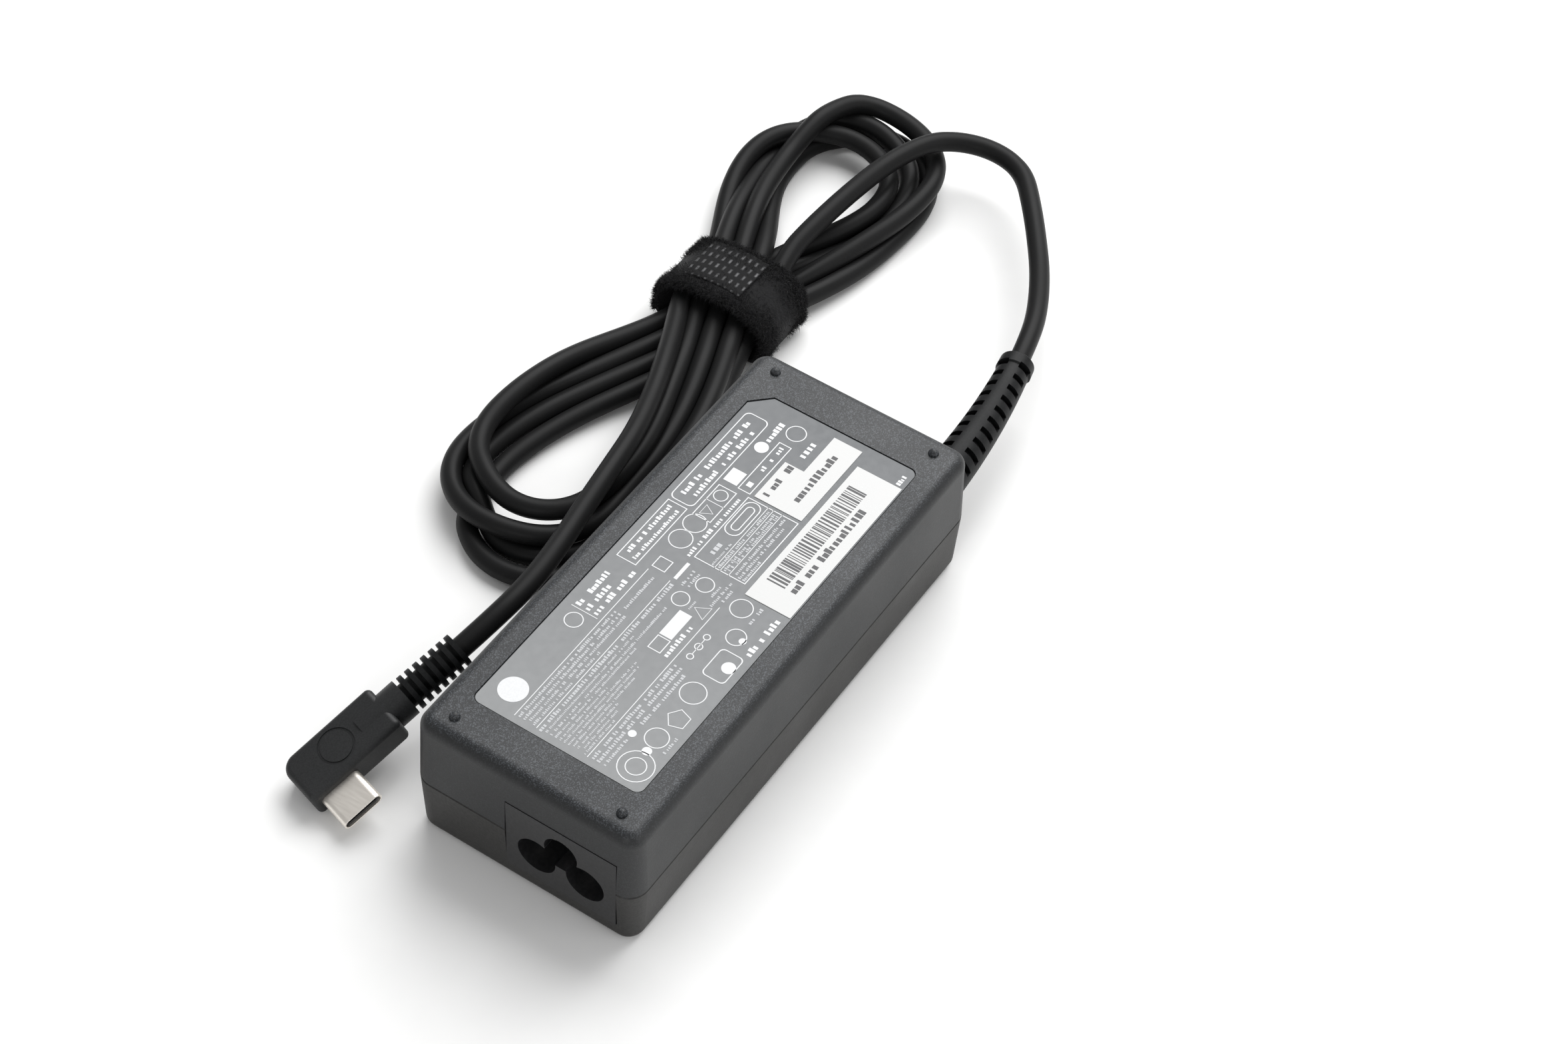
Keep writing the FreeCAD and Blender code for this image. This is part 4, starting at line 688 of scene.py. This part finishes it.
def band_point(u, angle):
    """u from 0 to 1 runs round the band's section: out along the outer face, over one hem, back
    along the inner face and over the other hem.  The section is a slim superellipse."""
    turn = u * 2 * math.pi
    along_x = np.sign(np.cos(turn)) * np.abs(np.cos(turn)) ** 0.35 * HALF_BAND
    depth = -0.7 + 0.7 * np.sign(np.sin(turn)) * np.abs(np.sin(turn)) ** 0.5
    skew = 0.5 * np.sin(angle) + 0.25 * np.sin(3 * angle + 0.6)
    ripple = 0.12 * np.sin(9 * angle + 3 * np.cos(turn))
    y, z = arch(angle, depth + ripple * (depth > -0.7))
    return np.stack([TIE_MIDDLE[0] + along_x + skew, y, z], axis=-1)


AROUND, ACROSS = 160, 48
around = np.arange(AROUND) * 2 * math.pi / AROUND
across = np.arange(ACROSS) / ACROSS
grid_u, grid_angle = np.meshgrid(across, around, indexing="xy")
band = band_point(grid_u, grid_angle).reshape(-1, 3)
band[:, 2] = np.maximum(band[:, 2], 0.05)
tie_band = new_mesh("tie_band", band * MM, grid_faces(AROUND, ACROSS, True, True)[:, ::-1])
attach(tie_band, "root")
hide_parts("cable_tie_strap")
print("tie band faces:", len(tie_band.data.polygons))

# %% The woven patch on its end
def patch_point(u, v):
    """v runs along the arch from one end of the patch to the other; u runs over the patch's top
    face, its edge and its underside, a slim closed section half a millimetre thick."""
    turn = u * 2 * math.pi
    along_x = TIE_MIDDLE[0] + 1.3 + 5.4 * np.sign(np.cos(turn)) * np.abs(np.cos(turn)) ** 0.3
    lift = 0.10 + 0.32 * np.sign(np.sin(turn)) * np.abs(np.sin(turn)) ** 0.5
    angle = (0.60 - 0.30 * v) * math.pi
    y, z = arch(angle, lift)
    return np.stack([along_x, y, z], axis=-1)


SECTION, ALONG = 40, 44
grid_u, grid_v = np.meshgrid(np.arange(SECTION) / SECTION, np.linspace(0, 1, ALONG), indexing="xy")
patch = patch_point(grid_u, grid_v)
# Each end is closed by one more row of points, all at the middle of the section there.
middles = patch.mean(axis=1, keepdims=True)
patch = np.concatenate([middles[:1].repeat(SECTION, 1), patch, middles[-1:].repeat(SECTION, 1)])
tie_patch = new_mesh("tie_patch", patch.reshape(-1, 3) * MM,
                     grid_faces(ALONG + 2, SECTION, False, True))
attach(tie_patch, "root")
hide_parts("cable_tie_tab")
print("tie patch faces:", len(tie_patch.data.polygons))

# %% The nap
rng = np.random.default_rng(12)
FIBRES = 16000
fibre_u = rng.uniform(-0.02, 0.52, FIBRES) % 1.0
fibre_angle = rng.uniform(-0.12, 1.12, FIBRES) * math.pi
root = band_point(fibre_u, fibre_angle)
step = 1e-3
slope_u = band_point(fibre_u + step, fibre_angle) - root
slope_angle = band_point(fibre_u, fibre_angle + step) - root
outward = np.cross(slope_u, slope_angle)
outward /= np.linalg.norm(outward, axis=1, keepdims=True) + 1e-12
away = root - np.array([TIE_MIDDLE[0], TIE_MIDDLE[1], 5.0])
outward *= np.sign((outward * away).sum(axis=1, keepdims=True))
lean = rng.normal(0, 1, (FIBRES, 3))
lean -= (lean * outward).sum(axis=1, keepdims=True) * outward
length = rng.uniform(0.7, 1.9, (FIBRES, 1))
middle = root + outward * length * 0.35 + lean * length * 0.16
tip = root + outward * length * 0.55 + lean * length * 0.42
sideways = np.cross(outward, lean)
sideways *= 0.045 / (np.linalg.norm(sideways, axis=1, keepdims=True) + 1e-9)
nap = np.stack([root - sideways, root + sideways, middle + sideways * 0.7,
                middle - sideways * 0.7, tip], axis=1)
nap[:, :, 2] = np.maximum(nap[:, :, 2], 0.03)
first = np.arange(FIBRES)[:, None] * 5
nap_faces = np.stack([first + np.array([0, 1, 2]), first + np.array([0, 2, 3]),
                      first + np.array([3, 2, 4])], axis=1).reshape(-1, 3)
tie_nap = new_mesh("tie_nap", nap.reshape(-1, 3) * MM, nap_faces)
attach(tie_nap, "root")
print("nap fibres:", FIBRES)

# %% Loop fabric and woven patch
tie_fabric, shader, start = new_finish("tie_fabric")
tufts, lint = noise(start, 0.45, 3.0), noise(start, 2.6, 2.0)
fluff = tufts * 0.6 + lint * 0.4
feed(shader, "Base Color", blend_colours(fluff, (0.004, 0.004, 0.0045), (0.020, 0.020, 0.021)))
feed(shader, "Roughness", ramp(tufts, (0.3, 0.78), (0.7, 0.95)))
feed(shader, "Normal", bump(tufts, 0.9, 0.25))
shader.inputs["Sheen Weight"].default_value = 0.06
shader.inputs["Specular IOR Level"].default_value = 0.15
tie_band.data.materials.append(tie_fabric)
tie_nap.data.materials.append(tie_fabric)

tie_weave, shader, start = new_finish("tie_weave")
ends, picks = bands(start, "X", 2.3), bands(start, "Y", 1.55)
dashes = soft_step(ends, 0.25, 0.75) * soft_step(picks, 0.55, 0.95)
uneven = soft_step(noise(start, 1.9, 2.0), 0.38, 0.6)
# Painted highlight: the dashes are made lighter in colour where the shiny threads catch the light; their
# pattern, lower roughness and bump are the weave's own.
shine = dashes * (0.35 + 0.65 * uneven)
feed(shader, "Base Color", blend_colours(shine, (0.006, 0.006, 0.0065), (0.10, 0.10, 0.105)))
feed(shader, "Roughness", ramp(dashes, (0.0, 0.85), (1.0, 0.42)))
shader.inputs["Specular IOR Level"].default_value = 0.3
feed(shader, "Normal", bump(dashes * 0.7 + noise(start, 0.4, 2.0) * 0.3, 0.8, 0.25))
tie_patch.data.materials.append(tie_weave)
print("finishes:", tie_fabric.name, tie_weave.name)


# %% [markdown]
# ## The cord
# One round flexible cord runs from the case's strain relief to the plug.  The two free
# stretches follow a few listed points.  Between them the cord is wound four times
# into a figure of eight and tied at its waist, so the turns are worked out in a loop: each
# half turn leaves the tie in one lane, swings round an end and comes back in another.
# Real strands can't share space, so the turns are then pushed towards a diameter apart, on
# the floor or on each other; inside the tie and at some crossings they stay squeezed.  The
# result is one NURBS spline with a round section.

# %% The two free stretches
CORD_D = 4.1
RADIUS = CORD_D / 2
CASE_STRETCH = np.array([
    (90.726, -11.587, 13.6), (96.595, -10.34, 13.6), (105, -7.6, 12.7), (115.5, -2.2, 11.8),
    (125.5, 4.6, 11.2), (132.8, 10.1, 11.0), (138.7, 15.1, 10.9), (141.2, 20.5, 10.8),
    (141.2, 26.3, 10.9), (138.8, 31.7, 11.3), (134.4, 35.7, 12.0), (124.2, 38.9, 12.5),
    (112, 41, 11.5), (100, 42.2, 10.5), (92.0, 42.6, 9.2),
])
PLUG_STRETCH = np.array([
    (-27.988, 32.1, 15.58), (-21.231, 30.098, 18.145), (-11.5, 29.3, 18.8), (-1, 30.8, 17.5),
    (12, 33.7, 15.5), (23, 35.9, 14), (34, 38, 12.8), (45, 41.5, 11.8), (55, 45.6, 10.6),
    (63, 49.2, 9.2),
])
print("points on the free stretches:", len(CASE_STRETCH), len(PLUG_STRETCH))

# %% The lanes through the tie, and the two ends of each turn
# A lane is (y, z) at the waist's left end and right end.  A swing is its height off the
# floor, then y of its near branch, the (x, y) of its tip, and y of its far branch.  The
# branches are widest a little way back from the tip, which keeps the end of the loop round.
LEFT_X, RIGHT_X = 68.0, 89.0
OUT_LANES = [((38.3, 3.75), (42.6, 8.0)), ((39.8, 7.6), (46.9, 7.6)), ((44.0, 7.7), (51.0, 7.7)),
             ((48.2, 7.7), (55.0, 7.6)), ((52.4, 7.9), (56.8, 4.2))]
BACK_LANES = [((42.2, 3.75), (37.3, 3.75)), ((46.4, 3.75), (41.5, 3.75)),
              ((50.6, 3.75), (45.7, 3.75)), ((54.8, 3.75), (50.0, 3.75))]
LEFT_SWINGS = [(2.3, 29.0, (-1.8, 44.5), 59.7), (3.5, 31.0, (3.2, 48.3), 64.0),
               (5.5, 33.2, (3.9, 50.5), 67.0), (8.5, 35.3, (8.7, 48.7), 65.6)]
RIGHT_SWINGS = [(2.3, 30.7, (141.0, 47.0), 61.5), (7.5, 30.0, (143.0, 50.0), 60.3),
                (4.5, 34.0, (139.5, 51.0), 65.2), (6.0, 35.3, (133.5, 52.0), 66.7)]
NEAR_BACK, FAR_BACK = 14.0, 15.0
print("loops at each end of the tie:", len(LEFT_SWINGS), len(RIGHT_SWINGS))


# %% One end of a turn
def hermite(start_point, start_slope, end_point, end_slope, count):
    """Points along the cubic that leaves one point and meets another with given slopes."""
    t = np.linspace(0, 1, count, endpoint=False)[:, None]
    return ((2 * t**3 - 3 * t**2 + 1) * start_point + (t**3 - 2 * t**2 + t) * start_slope
            + (-2 * t**3 + 3 * t**2) * end_point + (t**3 - t**2) * end_slope)


SLANT, TENSION, STEPS = 0.42, 1.1, 7


def swing(enter, leave, side, height, near_y, tip, far_y):
    """One end of a turn: out along the near branch, round the tip, back along the far one."""
    near = np.array([tip[0] - side * NEAR_BACK, near_y, height])
    far = np.array([tip[0] - side * FAR_BACK, far_y, height])
    tip = np.array([*tip, height])
    ahead = np.array([side, 0.0, 0.0])
    down = 1.0 if near[1] < far[1] else -1.0
    across = np.array([0.0, down, 0.0])
    slant = SLANT * down
    out, home = np.array([side, -slant, 0]), np.array([-side, -slant, 0])
    anchors = [(enter, out), (near, ahead), (tip, across), (far, -ahead), (leave, home)]
    parts = []
    for (first, first_way), (second, second_way) in zip(anchors, anchors[1:]):
        reach = np.linalg.norm(second - first)
        parts.append(hermite(first, first_way * reach * TENSION, second,
                             second_way * reach * TENSION, STEPS))
    return np.concatenate(parts)


# %% Four turns
HALFWAY = np.array([[0], [0.5]])
coil = []
for index in range(4):
    (left_y, left_z), _ = OUT_LANES[index]
    (back_y, back_z), (right_y, right_z) = BACK_LANES[index]
    _, (next_y, next_z) = OUT_LANES[index + 1]
    left_in, left_out = np.array([LEFT_X, left_y, left_z]), np.array([LEFT_X, back_y, back_z])
    right_in = np.array([RIGHT_X, right_y, right_z])
    right_out = np.array([RIGHT_X, next_y, next_z])
    coil.append(swing(left_in, left_out, -1, *LEFT_SWINGS[index]))
    coil.append(left_out + (right_in - left_out) * HALFWAY)
    coil.append(swing(right_in, right_out, 1, *RIGHT_SWINGS[index]))
    (end_y, end_z), _ = OUT_LANES[index + 1]
    coil.append(right_out + (np.array([LEFT_X, end_y, end_z]) - right_out) * HALFWAY)
coil.append(np.array([[LEFT_X, end_y, end_z]]))
coil = np.concatenate(coil)
print("points on the planned turns:", len(coil))


# %% Even spacing
def along(points, spacing):
    """The same polyline with points at even distances along it."""
    steps = np.linalg.norm(np.diff(points, axis=0), axis=1)
    distance = np.concatenate([[0], np.cumsum(steps)])
    count = max(2, int(round(distance[-1] / spacing)))
    even = np.linspace(0, distance[-1], count + 1)
    return np.stack([np.interp(even, distance, points[:, axis]) for axis in range(3)], axis=1)


SPACING = 2.0
SOLID_GAP = 0.4
CASE_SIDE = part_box("top_shell")[1][1] / MM + RADIUS + SOLID_GAP
CASE_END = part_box("top_shell")[1][0] / MM + RADIUS + SOLID_GAP
TIE_X, TIE_Y, TIE_Z = (70.5, 86.5), (46.5 - 9.4, 46.5 + 9.4), (1.5 + RADIUS, 9.9 - RADIUS)


# %% What moves a point in one round
def shove_apart(points, total, order):
    """How far each point is pushed by every strand that is nearer than one diameter, leaving
    out its own neighbours along the cord.  The push is a little stronger upwards."""
    neighbours = int(np.ceil(2.2 * CORD_D / SPACING))
    apart = points[:, None, :] - total[None, :, :]
    distance = np.linalg.norm(apart, axis=2) + 1e-6
    close = (distance < CORD_D * 1.01) & (order > neighbours)
    push = np.where(close, (CORD_D * 1.01 - distance) / distance, 0.0)[:, :, None] * apart
    push[:, :, 2] *= 1.3
    shove = push.sum(axis=1)
    size = np.linalg.norm(shove, axis=1, keepdims=True)
    shove *= np.minimum(1.0, 0.8 / (size + 1e-9))
    return 0.35 * shove


def smooth(middle, before, after, home):
    """Moves points towards the middle of their neighbours, further where the bend is sharp,
    and then a little towards where they started."""
    bend = 0.5 * (before + after) - middle
    sharp = np.clip(np.linalg.norm(bend, axis=1, keepdims=True) / 0.15 - 1, 0, 1)
    middle += (0.25 + 0.4 * sharp) * bend
    middle += 0.03 * (home - middle)


def confine(points):
    """Lowers the points a little, and keeps them off the floor and the case and in the tie."""
    points[:, 2] -= 0.02
    points[:, 2] = np.maximum(points[:, 2], RADIUS + 0.05)
    beside = points[:, 0] < CASE_END
    points[beside, 1] = np.maximum(points[beside, 1], CASE_SIDE)
    inside = (points[:, 0] > TIE_X[0]) & (points[:, 0] < TIE_X[1])
    points[inside, 1] = np.clip(points[inside, 1], *TIE_Y)
    points[inside, 2] = np.clip(points[inside, 2], *TIE_Z)


# %% Push the turns apart
def settle(points, fixed, rounds):
    """Repeats the three moves.  The pushes and the tie pull against each other, so some
    crossings stay squeezed."""
    points = points.copy()
    home = points.copy()
    count, whole = len(points), len(points) + len(fixed)
    order = np.abs(np.arange(count)[:, None] - np.arange(whole)[None, :])
    order[:, count:] = 10 ** 6
    for _ in range(rounds):
        points += shove_apart(points, np.concatenate([points, fixed]), order)
        middle = points[1:-1].copy()
        smooth(middle, points[:-2], points[2:], home[1:-1])
        points[1:-1] = middle
        confine(points)
        points[0], points[-1] = home[0], home[-1]
    return points


fixed = np.concatenate([along(CASE_STRETCH, SPACING), along(PLUG_STRETCH, SPACING)])
settled = settle(along(coil, SPACING), fixed[:0], 1)
settled = settle(settled, fixed, 260)
turns = along(settled, 4.6)
line = np.concatenate([CASE_STRETCH, turns[1:-1], PLUG_STRETCH[::-1]])
print("control points along the cord:", len(line))


# %% The cord's spline
def spline_curve(name, points_mm, radius_mm):
    """A round cord along one open NURBS spline whose control points are given.  The curve's
    depth is one metre and each point's radius is the cord's own, which multiplies it."""
    data = bpy.data.curves.new(name, "CURVE")
    data.dimensions = "3D"
    data.bevel_depth = 1.0
    data.bevel_resolution = 5
    data.resolution_u = 6
    data.use_fill_caps = True
    spline = data.splines.new("NURBS")
    spline.points.add(len(points_mm) - 1)
    flat = np.c_[np.asarray(points_mm) * MM, np.ones(len(points_mm))]
    spline.points.foreach_set("co", flat.astype(np.float32).ravel())
    spline.points.foreach_set("radius", np.full(len(points_mm), radius_mm * MM, dtype=np.float32))
    spline.order_u = 3
    spline.use_endpoint_u = True
    piece = bpy.data.objects.new(name, data)
    bpy.context.scene.collection.objects.link(piece)
    return piece


cord = spline_curve("output_cord", line, RADIUS)
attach(cord, "root")
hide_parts("cord_lead_case", "cord_lead_plug", "cord_hank")

# %% The cord's jacket
cord_jacket, shader, start = new_finish("cord_jacket")
skin, drift = noise(start, 0.6, 3.0), noise(start, 18.0, 2.0)
feed(shader, "Base Color", blend_colours(skin * 0.5 + drift * 0.5, (0.0075, 0.0077, 0.008),
                                         (0.0135, 0.0135, 0.0137)))
shader.inputs["Specular IOR Level"].default_value = 0.13
feed(shader, "Roughness", ramp(drift, (0.3, 0.42), (0.7, 0.52)))
feed(shader, "Normal", bump(skin, 0.2, 0.03))
cord.data.materials.append(cord_jacket)
print("finish:", cord_jacket.name)
